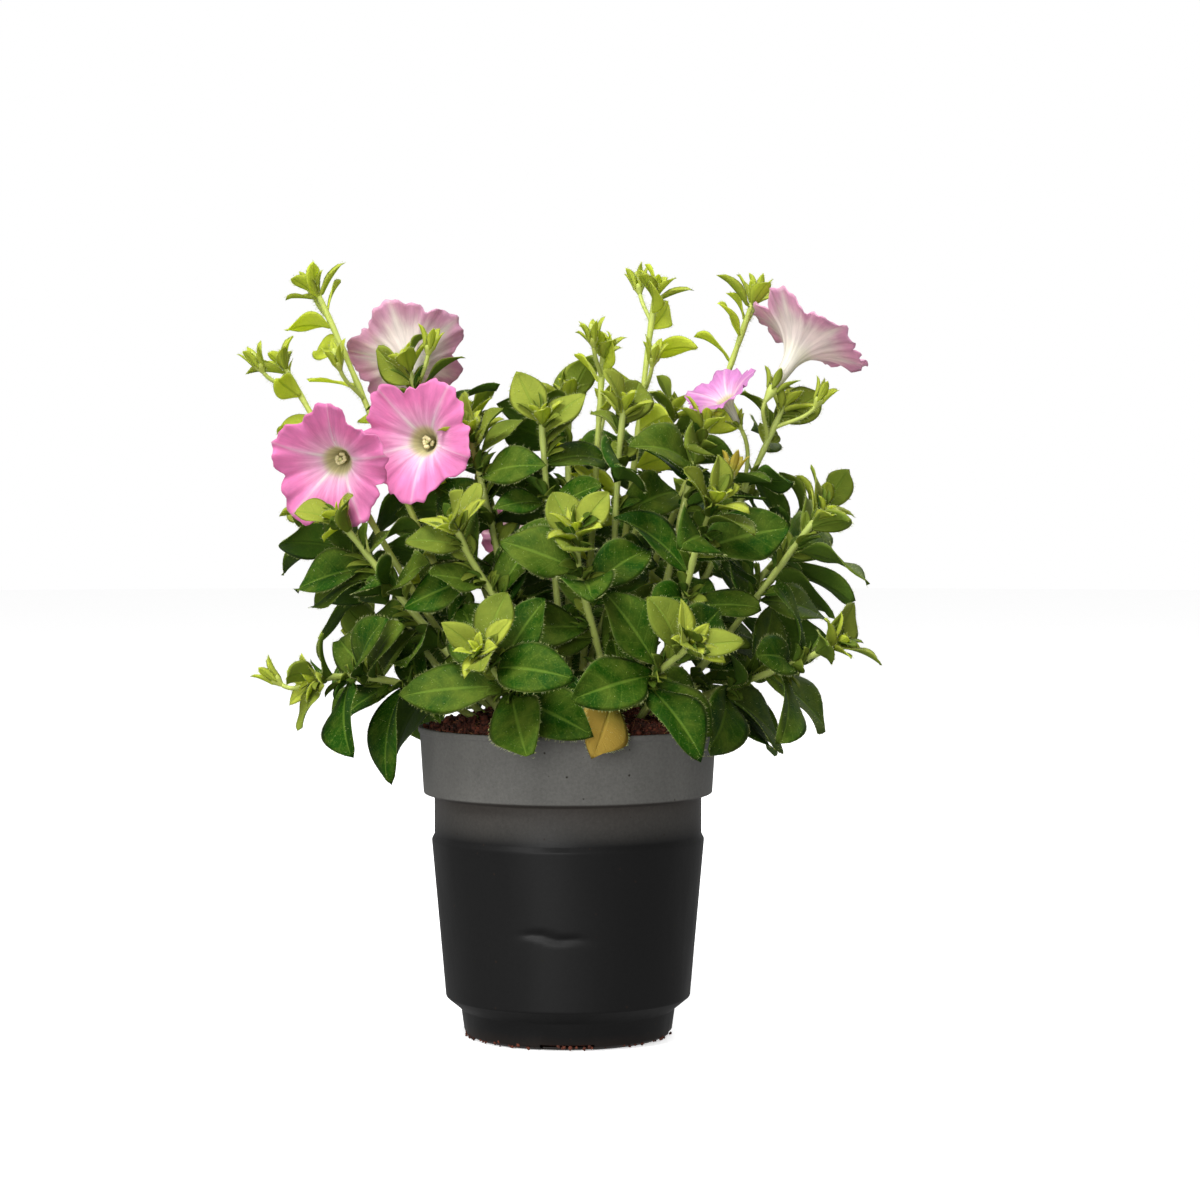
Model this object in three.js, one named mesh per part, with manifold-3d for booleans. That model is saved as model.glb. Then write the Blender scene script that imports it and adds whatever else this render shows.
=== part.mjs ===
// A potted petunia: a nursery pot filled with peat, and the leafy, flowering plant that
// grows in it. Millimetres, +Z up. The origin is on the pot's axis, on the flat underside
// of its foot, and -Y is the front.

import * as THREE from 'three';
import { mergeVertices } from 'three/addons/utils/BufferGeometryUtils.js';
import Module from 'manifold-3d';

const wasm = await Module();
wasm.setup();

// Driving dimensions

const LIP_RADIUS = 60;
const POT_HEIGHT = 124;
const WALL = 1.3;
const FOOT_HEIGHT = 11;
const FOOT_RADIUS = 42.9;
const STEP_TOP = 16;
const BODY_RADIUS = 49;
const SHOULDER_HEIGHT = 79;
const SHOULDER_RADIUS = 54.6;
const NECK_RADIUS = 53.5;
const BAND_BOTTOM = 97;
const BAND_BOTTOM_RADIUS = 57.8;
const BAND_TOP = 121.5;
const BAND_TOP_RADIUS = 59.3;
const POT_SIDES = 22;
const NOTCHES = 4;
const NOTCH_WIDTH = 20;
const NOTCH_HEIGHT = 2.4;

const CLEARANCE = 0.35;
const TWIN_DISTANCE = 0.0006;
const NUDGE = 0.03;
const SOIL_EDGE = 121.5;
const SOIL_CROWN = 130;

const STEM_RADIUS = 1.65;
const SHOOT_RADIUS = 1.0;
const STALK_RADIUS = 0.85;
const STEM_FOOT = 112;
const STEEPEST_LEAN = 0.95;
const STEM_SIDES = 4;
const STEM_STEP = 24;

const LEAF_LENGTH = 39;
const LEAF_WIDTH = 24.5;
const LEAF_THICKNESS = 1.3;
const BLADE_STEPS = 3;
const SMALL_BLADE_STEPS = 2;
const SMALL_BLADE = 30;
const LEAF_SPACING = 10;
const LEAF_LEVELS = 8;
const BARE_FOOT = 40;
const ROOT_OFFSET = 0.55;
const GOLDEN_ANGLE = 2.39996;

const LIMB_RADIUS = 24;
const COROLLA_DEPTH = 31;
const PETALS = 5;

const COLOURS = {
  pot: 0x3b3b3c, soil: 0x3a2019, leaf: 0x3f7426, petal: 0xe889bd, stamens: 0xe9e0a4,
};

// Each stem runs from the crown to its shoot tip. Bow is how far, in degrees, it leans
// out past its chord before it turns up. A stem with tall set carries small, far-set
// leaves on its upper half.
const STEMS = [
  { tip: [35, 6, 297], bow: 4, tall: true, buds: 2 },
  { tip: [14, -2, 273], bow: 2, tall: true, buds: 2 },
  { tip: [74, 6, 294], bow: 6, tall: true, buds: 1 },
  { tip: [-101, 10, 298], bow: 6, tall: true, buds: 2 },
  { tip: [-114, 4, 268], bow: 9, tall: true, buds: 1 },
  { tip: [-64, 2, 268], bow: 7, buds: 1 },
  { tip: [-38, -22, 240], bow: 7, buds: 0 },
  { tip: [-10, -28, 246], bow: 6, buds: 0 },
  { tip: [22, -24, 250], bow: 6, buds: 0 },
  { tip: [54, -22, 244], bow: 9, buds: 0 },
  { tip: [0, 24, 256], bow: 5, buds: 0 },
  { tip: [-40, 28, 246], bow: 8, buds: 0 },
  { tip: [42, 30, 250], bow: 8, buds: 0 },
  { tip: [86, -8, 252], bow: 10, buds: 1 },
  { tip: [-88, -32, 206], bow: 13, buds: 0 },
  { tip: [-42, -58, 204], bow: 14, buds: 0 },
  { tip: [4, -66, 202], bow: 15, buds: 0 },
  { tip: [56, -56, 214], bow: 13, buds: 1 },
  { tip: [98, -28, 208], bow: 14, buds: 0 },
  { tip: [104, 34, 212], bow: 13, buds: 0 },
  { tip: [58, 74, 208], bow: 13, buds: 0 },
  { tip: [4, 88, 206], bow: 14, buds: 0 },
  { tip: [-54, 78, 206], bow: 13, buds: 0 },
  { tip: [-104, 34, 212], bow: 13, buds: 0 },
  { tip: [-96, -54, 146], bow: -14, buds: 1 },
  { tip: [-32, -84, 158], bow: 12, buds: 0 },
  { tip: [46, -82, 160], bow: 12, buds: 0 },
  { tip: [104, -36, 158], bow: 12, buds: 0 },
  { tip: [86, 62, 158], bow: 12, buds: 0 },
  { tip: [2, 98, 156], bow: 12, buds: 0 },
  { tip: [-84, 66, 158], bow: 12, buds: 0 },
];

// Each open flower has its stem, the place of its stalk along that stem, the centre of its
// limb, the way it faces and its size, which is 1 when it is fully grown.
const FLOWERS = [
  { stem: 5, along: 0.80, centre: [-60, -27, 238], face: [-0.38, -0.92, 0.06], size: 1 },
  { stem: 14, along: 0.86, centre: [-93, -29, 227], face: [-0.30, -0.91, -0.28], size: 1 },
  { stem: 5, along: 0.9, centre: [-66, 34, 275], face: [-0.15, 0.80, 0.58], size: 1 },
  { stem: 13, along: 0.9, centre: [96, -5, 281], face: [0.52, 0.30, 0.80], size: 1 },
  { stem: 13, along: 0.74, centre: [60, -16, 258], face: [-0.45, -0.42, 0.79], size: 0.6 },
  { stem: 21, along: 0.8, centre: [-14, 104, 200], face: [-0.20, 0.95, 0.25], size: 1 },
];

// Small vector and number helpers

const UP = new THREE.Vector3(0, 0, 1);

function vector(list) {
  return new THREE.Vector3(list[0], list[1], list[2]);
}

function mix(from, to, share) {
  return from + (to - from) * share;
}

function seededRandom(seed) {
  let state = seed;
  return () => {
    state = (state * 16807) % 2147483647;
    return state / 2147483647;
  };
}

// Solids are joined and cut as closed meshes whose shared vertices are merged.

function solidOf(geometry) {
  const bare = geometry.clone();
  bare.deleteAttribute('normal');
  bare.deleteAttribute('uv');
  const merged = mergeVertices(bare, 1e-4);
  const corners = merged.index.array;
  const kept = [];
  for (let i = 0; i < corners.length; i += 3) {
    const [a, b, c] = [corners[i], corners[i + 1], corners[i + 2]];
    if (a !== b && b !== c && c !== a) kept.push(a, b, c);
  }
  return new wasm.Manifold(new wasm.Mesh({
    numProp: 3,
    vertProperties: Float32Array.from(merged.attributes.position.array),
    triVerts: Uint32Array.from(kept),
  }));
}

function geometryOf(solid) {
  const mesh = solid.getMesh();
  const geometry = new THREE.BufferGeometry();
  geometry.setAttribute('position', new THREE.BufferAttribute(mesh.vertProperties, 3));
  geometry.setIndex(new THREE.BufferAttribute(mesh.triVerts, 1));
  return geometry;
}

function joined(geometries) {
  return geometries.map(solidOf).reduce((whole, piece) => whole.add(piece));
}

// True if two corners lie so close that they would be one point in a file.
function hasTwinCorners(solid) {
  const { vertProperties: at } = solid.getMesh();
  for (let i = 0; i < at.length; i += 3) {
    for (let j = i + 3; j < at.length; j += 3) {
      const apart = Math.hypot(at[i] - at[j], at[i + 1] - at[j + 1], at[i + 2] - at[j + 2]);
      if (apart < TWIN_DISTANCE) return true;
    }
  }
  return false;
}

function moveVertices(geometry, place) {
  const position = geometry.attributes.position;
  for (let i = 0; i < position.count; i += 1) {
    const point = place(new THREE.Vector3().fromBufferAttribute(position, i));
    position.setXYZ(i, point.x, point.y, point.z);
  }
  return geometry;
}

// Pot and soil

function lathe(profile) {
  const points = profile.map(([radius, height]) => new THREE.Vector2(radius, height));
  return new THREE.LatheGeometry(points, POT_SIDES).rotateX(Math.PI / 2);
}

function potGeometry() {
  const lean = (STEP_TOP - FOOT_HEIGHT) / (BODY_RADIUS - FOOT_RADIUS);
  const outside = [
    [0, 0], [38.6, 0], [41.6, 1.6], [FOOT_RADIUS, FOOT_HEIGHT], [BODY_RADIUS, STEP_TOP],
    [SHOULDER_RADIUS, SHOULDER_HEIGHT], [NECK_RADIUS, SHOULDER_HEIGHT + 2],
    [NECK_RADIUS, BAND_BOTTOM - 1], [BAND_BOTTOM_RADIUS, BAND_BOTTOM + 0.5],
    [BAND_TOP_RADIUS, BAND_TOP], [LIP_RADIUS, BAND_TOP + 0.5], [LIP_RADIUS, POT_HEIGHT],
  ];
  const inside = [
    [BAND_TOP_RADIUS - WALL, POT_HEIGHT], [BAND_BOTTOM_RADIUS - WALL, BAND_BOTTOM + 1.8],
    [NECK_RADIUS - WALL, BAND_BOTTOM + 0.6], [NECK_RADIUS - WALL, SHOULDER_HEIGHT + 2.4],
    [SHOULDER_RADIUS - WALL, SHOULDER_HEIGHT], [BODY_RADIUS - WALL, STEP_TOP + WALL * lean],
    [FOOT_RADIUS - WALL, FOOT_HEIGHT + WALL], [40.2, 2.6], [38, WALL], [0, WALL],
  ];
  let pot = solidOf(lathe([...outside, ...inside]));
  for (let i = 0; i < NOTCHES; i += 1) {
    const notch = new THREE.BoxGeometry(10, NOTCH_WIDTH, NOTCH_HEIGHT * 2);
    notch.translate(FOOT_RADIUS, 0, 0).rotateZ((i - 1) * Math.PI / 2);
    pot = pot.subtract(solidOf(notch));
  }
  return geometryOf(pot);
}

function soilHeight(x, y) {
  const share = Math.min(1, Math.hypot(x, y) / BAND_TOP_RADIUS);
  const mound = mix(SOIL_CROWN, SOIL_EDGE, share ** 2.2);
  return mound + Math.sin(x * 0.21 + 1) * Math.cos(y * 0.19) + 0.5 * Math.sin(x * 0.5 - y * 0.43);
}

function soilGeometry(stems) {
  const gap = WALL + CLEARANCE;
  const rings = [44, 28, 13, 0];
  const geometry = lathe([
    [0, WALL + CLEARANCE], [37.6, WALL + CLEARANCE], [39.6, 3],
    [FOOT_RADIUS - gap, FOOT_HEIGHT + gap], [BODY_RADIUS - gap, STEP_TOP + gap],
    [SHOULDER_RADIUS - gap, SHOULDER_HEIGHT - 0.5], [NECK_RADIUS - gap, SHOULDER_HEIGHT + 2.6],
    [NECK_RADIUS - gap, BAND_BOTTOM + 1.2], [BAND_BOTTOM_RADIUS - gap, BAND_BOTTOM + 2.4],
    [BAND_TOP_RADIUS - gap - 0.2, SOIL_EDGE], ...rings.map((radius) => [radius, POT_HEIGHT]),
  ]);
  moveVertices(geometry, (point) => {
    if (point.z > POT_HEIGHT - 1) point.z = soilHeight(point.x, point.y);
    return point;
  });
  let soil = solidOf(geometry);
  for (const stem of stems) soil = soil.subtract(solidOf(holeGeometry(stem)));
  return geometryOf(soil);
}

// Stems and stalks are cubic curves. A curve's side vector stays square to its chord, so
// the frame along it never flips.

function curveBetween(start, startWay, end, endWay) {
  const reach = start.distanceTo(end) * 0.36;
  const curve = new THREE.CubicBezierCurve3(
    start, start.clone().addScaledVector(startWay, reach),
    end.clone().addScaledVector(endWay, -reach), end,
  );
  const chord = end.clone().sub(start);
  curve.side = chord.cross(new THREE.Vector3(0.31, 0.17, 1)).normalize();
  return curve;
}

function frameAt(curve, share) {
  const way = curve.getTangent(share);
  const side = curve.side.clone().addScaledVector(way, -curve.side.dot(way)).normalize();
  return { origin: curve.getPoint(share), way, side, lift: way.clone().cross(side) };
}

function bentRod(curve, footRadius, tipRadius, steps, until = 1, sink = 0) {
  const rod = new THREE.CylinderGeometry(1, 1, 1, STEM_SIDES, steps);
  return moveVertices(rod, (point) => {
    const share = (point.y + 0.5) * until;
    const frame = frameAt(curve, share);
    const radius = mix(footRadius, tipRadius, share);
    return frame.origin
      .addScaledVector(frame.way, share === 0 ? -sink : 0)
      .addScaledVector(frame.side, point.z * radius)
      .addScaledVector(frame.lift, point.x * radius);
  });
}

function stemSteps(stem) {
  return Math.round(stem.curve.getLength() / STEM_STEP);
}

// What grows on a stem starts from the straight chords that the stem's rod is made of.
function rootFrame(stem, along) {
  const steps = stemSteps(stem);
  const from = Math.min(Math.floor(along * steps), steps - 1);
  const origin = stem.curve.getPoint(from / steps)
    .lerp(stem.curve.getPoint((from + 1) / steps), along * steps - from);
  return { ...frameAt(stem.curve, along), origin };
}

function stemGeometry(stem) {
  return bentRod(stem.curve, STEM_RADIUS, SHOOT_RADIUS, stemSteps(stem));
}

function holeGeometry(stem) {
  const edge = stem.curve.getPoint(1 / stemSteps(stem));
  const steps = edge.z > soilHeight(edge.x, edge.y) + 4 ? 1 : 2;
  const [foot, tip] = [STEM_RADIUS + CLEARANCE * 1.6, SHOOT_RADIUS + CLEARANCE * 1.6];
  return bentRod(stem.curve, foot, tip, steps, steps / stemSteps(stem), CLEARANCE);
}

// A leaf blade is a sphere of four meridians drawn out along its rib: the rib keeps its
// thickness, the margins are thin, and the blade folds up along the rib and arches down.

function bladePoint(leaf, along, across, height) {
  const turned = Math.max(leaf.arch * along, 1e-6);
  const run = leaf.length * Math.sin(turned) / leaf.arch;
  const drop = leaf.length * (1 - Math.cos(turned)) / leaf.arch;
  const side = leaf.way.clone().cross(leaf.top);
  const normal = leaf.top.clone().multiplyScalar(Math.cos(turned))
    .addScaledVector(leaf.way, Math.sin(turned));
  return leaf.root.clone()
    .addScaledVector(leaf.way, run)
    .addScaledVector(leaf.top, -drop)
    .addScaledVector(side, across)
    .addScaledVector(normal, height + leaf.fold * Math.abs(across));
}

function bladeHalfWidth(leaf, along) {
  const belly = Math.sin(Math.PI * along ** 1.15) ** 0.85;
  return leaf.width / 2 * Math.max(belly, 0.16 * (1 - along));
}

function bladeGeometry(leaf) {
  const steps = leaf.length < SMALL_BLADE ? SMALL_BLADE_STEPS : BLADE_STEPS;
  const blade = new THREE.SphereGeometry(1, 4, steps);
  return moveVertices(blade, (point) => {
    const along = Math.acos(THREE.MathUtils.clamp(point.y, -1, 1)) / Math.PI;
    const girth = Math.max(Math.sin(Math.PI * along), 1e-9);
    const thick = LEAF_THICKNESS / 2 * Math.min(1, girth * 1.5);
    const halfWidth = girth > 0.01 ? bladeHalfWidth(leaf, along) : 0;
    return bladePoint(leaf, along, point.x / girth * halfWidth, -point.z / girth * thick);
  });
}

// Star-shaped rings make the calyces, the ribbed buds and the stamens. Each ring has a
// radius and a height at the five points, and a radius and a height between them.

function starGeometry(rings) {
  const star = new THREE.CylinderGeometry(1, 1, 1, PETALS * 2, rings.length - 1);
  return moveVertices(star, (point) => {
    const place = Math.round((point.y + 0.5) * (rings.length - 1));
    const [peak, peakHeight, dip = peak, dipHeight = peakHeight] = rings[place];
    const turn = Math.round(Math.atan2(point.z, point.x) / (Math.PI / PETALS));
    const atPeak = turn % 2 === 0 && Math.hypot(point.x, point.z) > 0.5;
    const radius = atPeak ? peak : dip;
    return new THREE.Vector3(point.x * radius, atPeak ? peakHeight : dipHeight, point.z * radius);
  });
}

function standing(geometry, foot, way, size = 1) {
  const turn = new THREE.Quaternion().setFromUnitVectors(new THREE.Vector3(0, 1, 0), way);
  geometry.scale(size, size, size).applyQuaternion(turn);
  return geometry.translate(foot.x, foot.y, foot.z);
}

const CALYX_RINGS = [[0.8, -4], [2.2, 0], [5.6, 11, 2.9, 2.6], [1.75, -0.35]];
const BUD_RINGS = [[0.8, -1], [2.6, 4.5, 1.9], [3.4, 12, 0.9, 9]];
const STAMEN_RINGS = [[0.3, 11.5], [1.9, 15.8, 0.9], [1.3, 17.8, 0.6]];

// The corolla: a funnel of five joined petals. Its limb is lobed, notched and ruffled.

function limbShape(point, ruffle) {
  const radius = Math.hypot(point.x, point.z);
  const turn = Math.atan2(point.z, point.x);
  const reach = (radius / LIMB_RADIUS) ** 3;
  const lobe = 1 - reach * 0.07 * Math.cos(PETALS * turn);
  const wave = Math.sin(2 * turn + ruffle) + 0.8 * Math.sin(3 * turn + 2 * ruffle)
    - 0.7 * Math.cos(PETALS * turn);
  return new THREE.Vector3(point.x * lobe, point.y + reach * wave, point.z * lobe);
}

function corollaGeometry(ruffle) {
  const profile = [
    [0, 0], [1.2, 0], [1.8, 9], [5.6, 20], [13, 27.5], [LIMB_RADIUS, COROLLA_DEPTH],
    [LIMB_RADIUS - 0.3, COROLLA_DEPTH + 0.8], [12.6, 28.3], [4.7, 20.8], [0, 10],
  ];
  const points = profile.map(([radius, height]) => new THREE.Vector2(radius, height));
  const funnel = new THREE.LatheGeometry(points, PETALS * 3);
  return moveVertices(funnel, (point) => limbShape(point, ruffle));
}

// Layout. Every blade, stem and flower leaves sample points that later ones stay clear of.
// Points near a root don't count against the same stem, where blade and stem join.

const LEAF_SPACE = 1.9;
const STEM_SPACE = 2.1;
const FLOWER_SPACE = 3.2;
const ROOT_ZONE = 7;

// Heights and radii of the funnel that leaves and stems stay clear of
const FUNNEL_ROOM = [
  [4, 3.5], [10, 4.5], [18, 4], [23, 8], [28, 14], [30, 19], [COROLLA_DEPTH, LIMB_RADIUS],
];

// A leaf that finds no room is turned and tilted in these steps, then shrunk and tried again.
const SHRINKS = [1, 0.82, 0.65];
const TURNS = [[0, 0], [0.6, 0], [-0.6, 0], [0.3, 0.35], [-0.3, -0.35], [1.2, 0.1], [-1.2, -0.1]];
const BUD_TURNS = 8;
const FOOT_TRIES = 60;
const taken = [];

function isClear(samples, stem) {
  return samples.every((a) => taken.every((b) => {
    if (b.stem === stem && (b.axis || a.out < ROOT_ZONE || b.out < ROOT_ZONE)) return true;
    const apart = a.space + b.space;
    const [dx, dy, dz] = [a.x - b.x, a.y - b.y, a.z - b.z];
    return dx * dx + dy * dy + dz * dz >= apart * apart;
  }));
}

function isAboveGround(samples) {
  return samples.every((a) => {
    const radius = Math.hypot(a.x, a.y);
    if (a.out < ROOT_ZONE) return true;
    if (radius < LIP_RADIUS + 4) return a.z > Math.max(soilHeight(a.x, a.y), POT_HEIGHT) + 2.5;
    return a.z > BAND_BOTTOM;
  });
}

function curveSamples(curve, stem, axis, space) {
  const steps = Math.ceil(curve.getLength() / 2.5);
  const samples = [];
  for (let i = 0; i <= steps; i += 1) {
    const { x, y, z } = curve.getPoint(i / steps);
    samples.push({ x, y, z, out: curve.getLength() * i / steps, space, stem, axis });
  }
  return samples;
}

function bladeSamples(leaf, stem) {
  const rows = Math.ceil(leaf.length / 3.2);
  const samples = [];
  for (let i = 1; i <= rows; i += 1) {
    const along = i / rows;
    const halfWidth = i < rows ? bladeHalfWidth(leaf, along) : 0;
    const columns = Math.ceil(halfWidth / 1.6);
    for (let j = 0; j <= columns; j += 1) {
      const across = columns ? halfWidth * (2 * j / columns - 1) : 0;
      const { x, y, z } = bladePoint(leaf, along, across, 0);
      samples.push({ x, y, z, out: leaf.length * along, space: LEAF_SPACE, stem, axis: false });
    }
  }
  return samples;
}

function layStems() {
  const laid = [];
  STEMS.forEach((spec, index) => {
    const tip = vector(spec.tip);
    const heading = Math.atan2(tip.y, tip.x);
    const reach = Math.hypot(tip.x, tip.y);
    const chord = Math.atan2(reach, tip.z - SOIL_CROWN);
    const bow = THREE.MathUtils.degToRad(spec.bow);
    for (let attempt = 0; attempt < FOOT_TRIES; attempt += 1) {
      const inset = 3 + 12 * Math.min(1, chord / 1.2) + Math.floor(attempt / 12) * 2.5;
      const turn = heading + (attempt % 2 ? 1 : -1) * Math.ceil((attempt % 12) / 2) * 0.16;
      const foot = new THREE.Vector3(inset * Math.cos(turn), inset * Math.sin(turn), STEM_FOOT);
      const lean = Math.min(chord + bow, STEEPEST_LEAN);
      const startWay = new THREE.Vector3(
        Math.sin(lean) * Math.cos(turn), Math.sin(lean) * Math.sin(turn), Math.cos(lean));
      const nod = chord - bow;
      const endWay = new THREE.Vector3(
        Math.sin(nod) * Math.cos(heading), Math.sin(nod) * Math.sin(heading), Math.cos(nod));
      const curve = curveBetween(foot, startWay, tip, endWay);
      const samples = curveSamples(curve, index, true, STEM_SPACE);
      if (isClear(samples, index)) {
        taken.push(...samples);
        laid.push({ index, spec, curve, blades: [], stalks: [], buds: [], flowers: [] });
        return;
      }
    }
    throw new Error(`no room for stem ${index}`);
  });
  return laid;
}

function layFlowers(stems) {
  FLOWERS.forEach((spec, index) => {
    const way = vector(spec.face).normalize();
    const foot = vector(spec.centre).addScaledVector(way, -COROLLA_DEPTH * spec.size);
    const stem = stems[spec.stem];
    const start = rootFrame(stem, spec.along);
    const end = foot.clone().addScaledVector(way, -3 * spec.size);
    const startWay = end.clone().sub(start.origin).normalize().add(start.way).normalize();
    const stalk = curveBetween(start.origin, startWay, end, way);
    const { side, lift } = frameAt(stalk, 1);
    const flower = { index, way, foot, size: spec.size, ruffle: index * 1.3 };
    stem.stalks.push(stalk);
    stem.flowers.push(flower);
    taken.push(...curveSamples(stalk, spec.stem, false, STEM_SPACE));
    for (const [height, radius] of FUNNEL_ROOM) {
      const count = Math.ceil(radius * 2);
      for (let i = 0; i < count; i += 1) {
        const turn = i * 2 * Math.PI / count;
        const { x, y, z } = foot.clone().addScaledVector(way, height * spec.size)
          .addScaledVector(side, radius * spec.size * Math.cos(turn))
          .addScaledVector(lift, radius * spec.size * Math.sin(turn));
        taken.push({ x, y, z, out: 99, space: FLOWER_SPACE, stem: -1 - index, axis: false });
      }
    }
  });
}

function leafOn(stem, along, turn, tilt, size, random) {
  const { origin, way, side, lift } = rootFrame(stem, along);
  const out = side.clone().multiplyScalar(Math.cos(turn)).addScaledVector(lift, Math.sin(turn));
  const heading = way.clone().multiplyScalar(Math.cos(tilt)).addScaledVector(out, Math.sin(tilt));
  const top = new THREE.Vector3(origin.x, origin.y, 0).normalize()
    .addScaledVector(UP, 0.5).addScaledVector(way, 0.3);
  top.addScaledVector(heading, -top.dot(heading)).normalize();
  return {
    root: origin.addScaledVector(heading, ROOT_OFFSET), way: heading, top,
    length: LEAF_LENGTH * size,
    width: LEAF_WIDTH * size * (0.85 + 0.3 * random()),
    arch: 0.3 + 0.7 * random(),
    fold: 0.12 + 0.2 * random(),
  };
}

function placeLeaf(stem, along, turn, tilt, size, random) {
  const draw = [random(), random(), random()];
  for (const shrink of SHRINKS) {
    for (const [twist, bend] of TURNS) {
      let use = 0;
      const replay = () => draw[(use++) % draw.length];
      const leaf = leafOn(stem, along, turn + twist, tilt + bend, size * shrink, replay);
      const samples = bladeSamples(leaf, stem.index);
      if (isAboveGround(samples) && isClear(samples, stem.index)) {
        taken.push(...samples);
        stem.blades.push(leaf);
        return;
      }
    }
  }
}

function placeBud(stem, along, turn, random) {
  const { origin, way, side, lift } = rootFrame(stem, along);
  for (let attempt = 0; attempt < BUD_TURNS; attempt += 1) {
    const angle = turn + attempt * 0.8;
    const out = side.clone().multiplyScalar(Math.cos(angle))
      .addScaledVector(lift, Math.sin(angle));
    const heading = way.clone().multiplyScalar(0.8).addScaledVector(out, 0.6).normalize();
    const finish = heading.clone().add(UP).normalize();
    const foot = origin.clone().addScaledVector(heading, 15 + 5 * random());
    const stalk = curveBetween(origin, heading, foot, finish);
    const crown = foot.clone().addScaledVector(finish, 12);
    const body = curveBetween(foot, finish, crown, finish);
    const samples = [...curveSamples(stalk, stem.index, false, 1.6),
      ...curveSamples(body, stem.index, false, 3.2).map((one) => ({ ...one, out: 99 }))];
    if (isClear(samples, stem.index)) {
      taken.push(...samples);
      stem.stalks.push(stalk);
      stem.buds.push({ foot, way: finish });
      return;
    }
  }
}

function layFoliage(stems) {
  const random = seededRandom(4177);
  for (const stem of stems) {
    for (let i = 0; i < stem.spec.buds; i += 1) {
      placeBud(stem, 0.94 - 0.16 * i, 2.1 * stem.index + 2.6 * i, random);
    }
  }
  for (const stem of stems) {
    for (let i = 0; i < 3; i += 1) {
      const size = (stem.spec.tall ? 0.36 : 0.5) + 0.08 * random() + 0.06 * i;
      const along = 0.985 - 0.03 * i;
      placeLeaf(stem, along, i * GOLDEN_ANGLE + stem.index, 0.4 + 0.2 * i, size, random);
    }
  }
  for (let level = 1; level <= LEAF_LEVELS; level += 0.5) {
    for (const stem of stems) {
      const { tall } = stem.spec;
      const length = stem.curve.getLength();
      const along = 0.95 - level * LEAF_SPACING * (tall ? 1.5 : 1) / length;
      if (along * length > BARE_FOOT && !(tall && level % 1)) {
        const size = (0.9 + 0.2 * random()) * (tall ? 0.45 + 0.07 * level : 0.84 + 0.05 * level);
        const tilt = mix(1.35, 0.9, along);
        const turn = (level + 3) * GOLDEN_ANGLE + stem.index;
        placeLeaf(stem, along, turn, tilt, Math.min(size, 1.1), random);
      }
    }
  }
}

// A stem with all that grows on it, as one body. Where two cut edges would nearly meet, the
// blades are sunk a hair less.

function leafyStem(stem) {
  const rods = [stemGeometry(stem)];
  for (const stalk of stem.stalks) rods.push(bentRod(stalk, STALK_RADIUS, STALK_RADIUS, 3));
  for (const bud of stem.buds) rods.push(standing(starGeometry(BUD_RINGS), bud.foot, bud.way));
  for (const { foot, way, size } of stem.flowers) {
    rods.push(standing(starGeometry(CALYX_RINGS), foot, way, size));
  }
  let whole;
  for (let attempt = 0; attempt === 0 || hasTwinCorners(whole); attempt += 1) {
    const blades = stem.blades.map((blade) => bladeGeometry({
      ...blade, root: blade.root.clone().addScaledVector(blade.way, attempt * NUDGE),
    }));
    whole = joined([...rods, ...blades]);
  }
  return whole;
}

// Assembly

const stems = layStems();
layFlowers(stems);
layFoliage(stems);

function finish(colour, roughness) {
  return new THREE.MeshStandardMaterial({ color: colour, roughness, metalness: 0 });
}

function named(name, geometry, material) {
  const mesh = new THREE.Mesh(geometry, material);
  mesh.name = name;
  return mesh;
}

function twoDigits(index) {
  return String(index + 1).padStart(2, '0');
}

const petunia = new THREE.Group();
petunia.add(named('pot', potGeometry(), finish(COLOURS.pot, 0.45)));
petunia.add(named('soil', soilGeometry(stems), finish(COLOURS.soil, 0.95)));

for (const stem of stems) {
  const name = `leafy_stem_${twoDigits(stem.index)}`;
  petunia.add(named(name, geometryOf(leafyStem(stem)), finish(COLOURS.leaf, 0.6)));
}

for (const flower of stems.flatMap((stem) => stem.flowers)) {
  const { foot, way, size } = flower;
  const corolla = standing(corollaGeometry(flower.ruffle), foot, way, size);
  const stamens = standing(starGeometry(STAMEN_RINGS), foot, way, size);
  petunia.add(named(`corolla_${twoDigits(flower.index)}`, corolla, finish(COLOURS.petal, 0.6)));
  petunia.add(named(`stamens_${twoDigits(flower.index)}`, stamens, finish(COLOURS.stamens, 0.7)));
}

export default petunia;
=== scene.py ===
"""Dresses the packed potted petunia: fine leaves, hairy stems, ruffled blooms, peat and pot.

Lengths in the plant's own rules are millimetres, in the frame of the packed model: +Z up, the
pot's axis at the origin, -Y the front. Every piece is written to its mesh in metres.
"""

import math
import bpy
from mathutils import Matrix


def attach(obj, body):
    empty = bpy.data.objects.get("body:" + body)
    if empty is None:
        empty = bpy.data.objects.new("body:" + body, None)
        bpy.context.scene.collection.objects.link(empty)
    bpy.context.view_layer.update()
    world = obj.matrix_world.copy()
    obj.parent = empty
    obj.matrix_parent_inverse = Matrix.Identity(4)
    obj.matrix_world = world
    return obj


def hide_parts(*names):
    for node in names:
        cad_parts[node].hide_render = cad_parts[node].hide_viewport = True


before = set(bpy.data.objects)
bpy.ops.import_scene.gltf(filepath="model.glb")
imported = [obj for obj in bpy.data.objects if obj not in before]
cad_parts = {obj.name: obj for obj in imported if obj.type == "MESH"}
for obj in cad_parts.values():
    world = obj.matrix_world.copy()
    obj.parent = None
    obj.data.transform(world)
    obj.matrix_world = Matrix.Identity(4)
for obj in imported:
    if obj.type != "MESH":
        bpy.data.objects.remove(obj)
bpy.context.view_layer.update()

from types import SimpleNamespace

import bmesh
import bpy
import numpy as np
from mathutils import Euler, Matrix, Vector, noise

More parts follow.
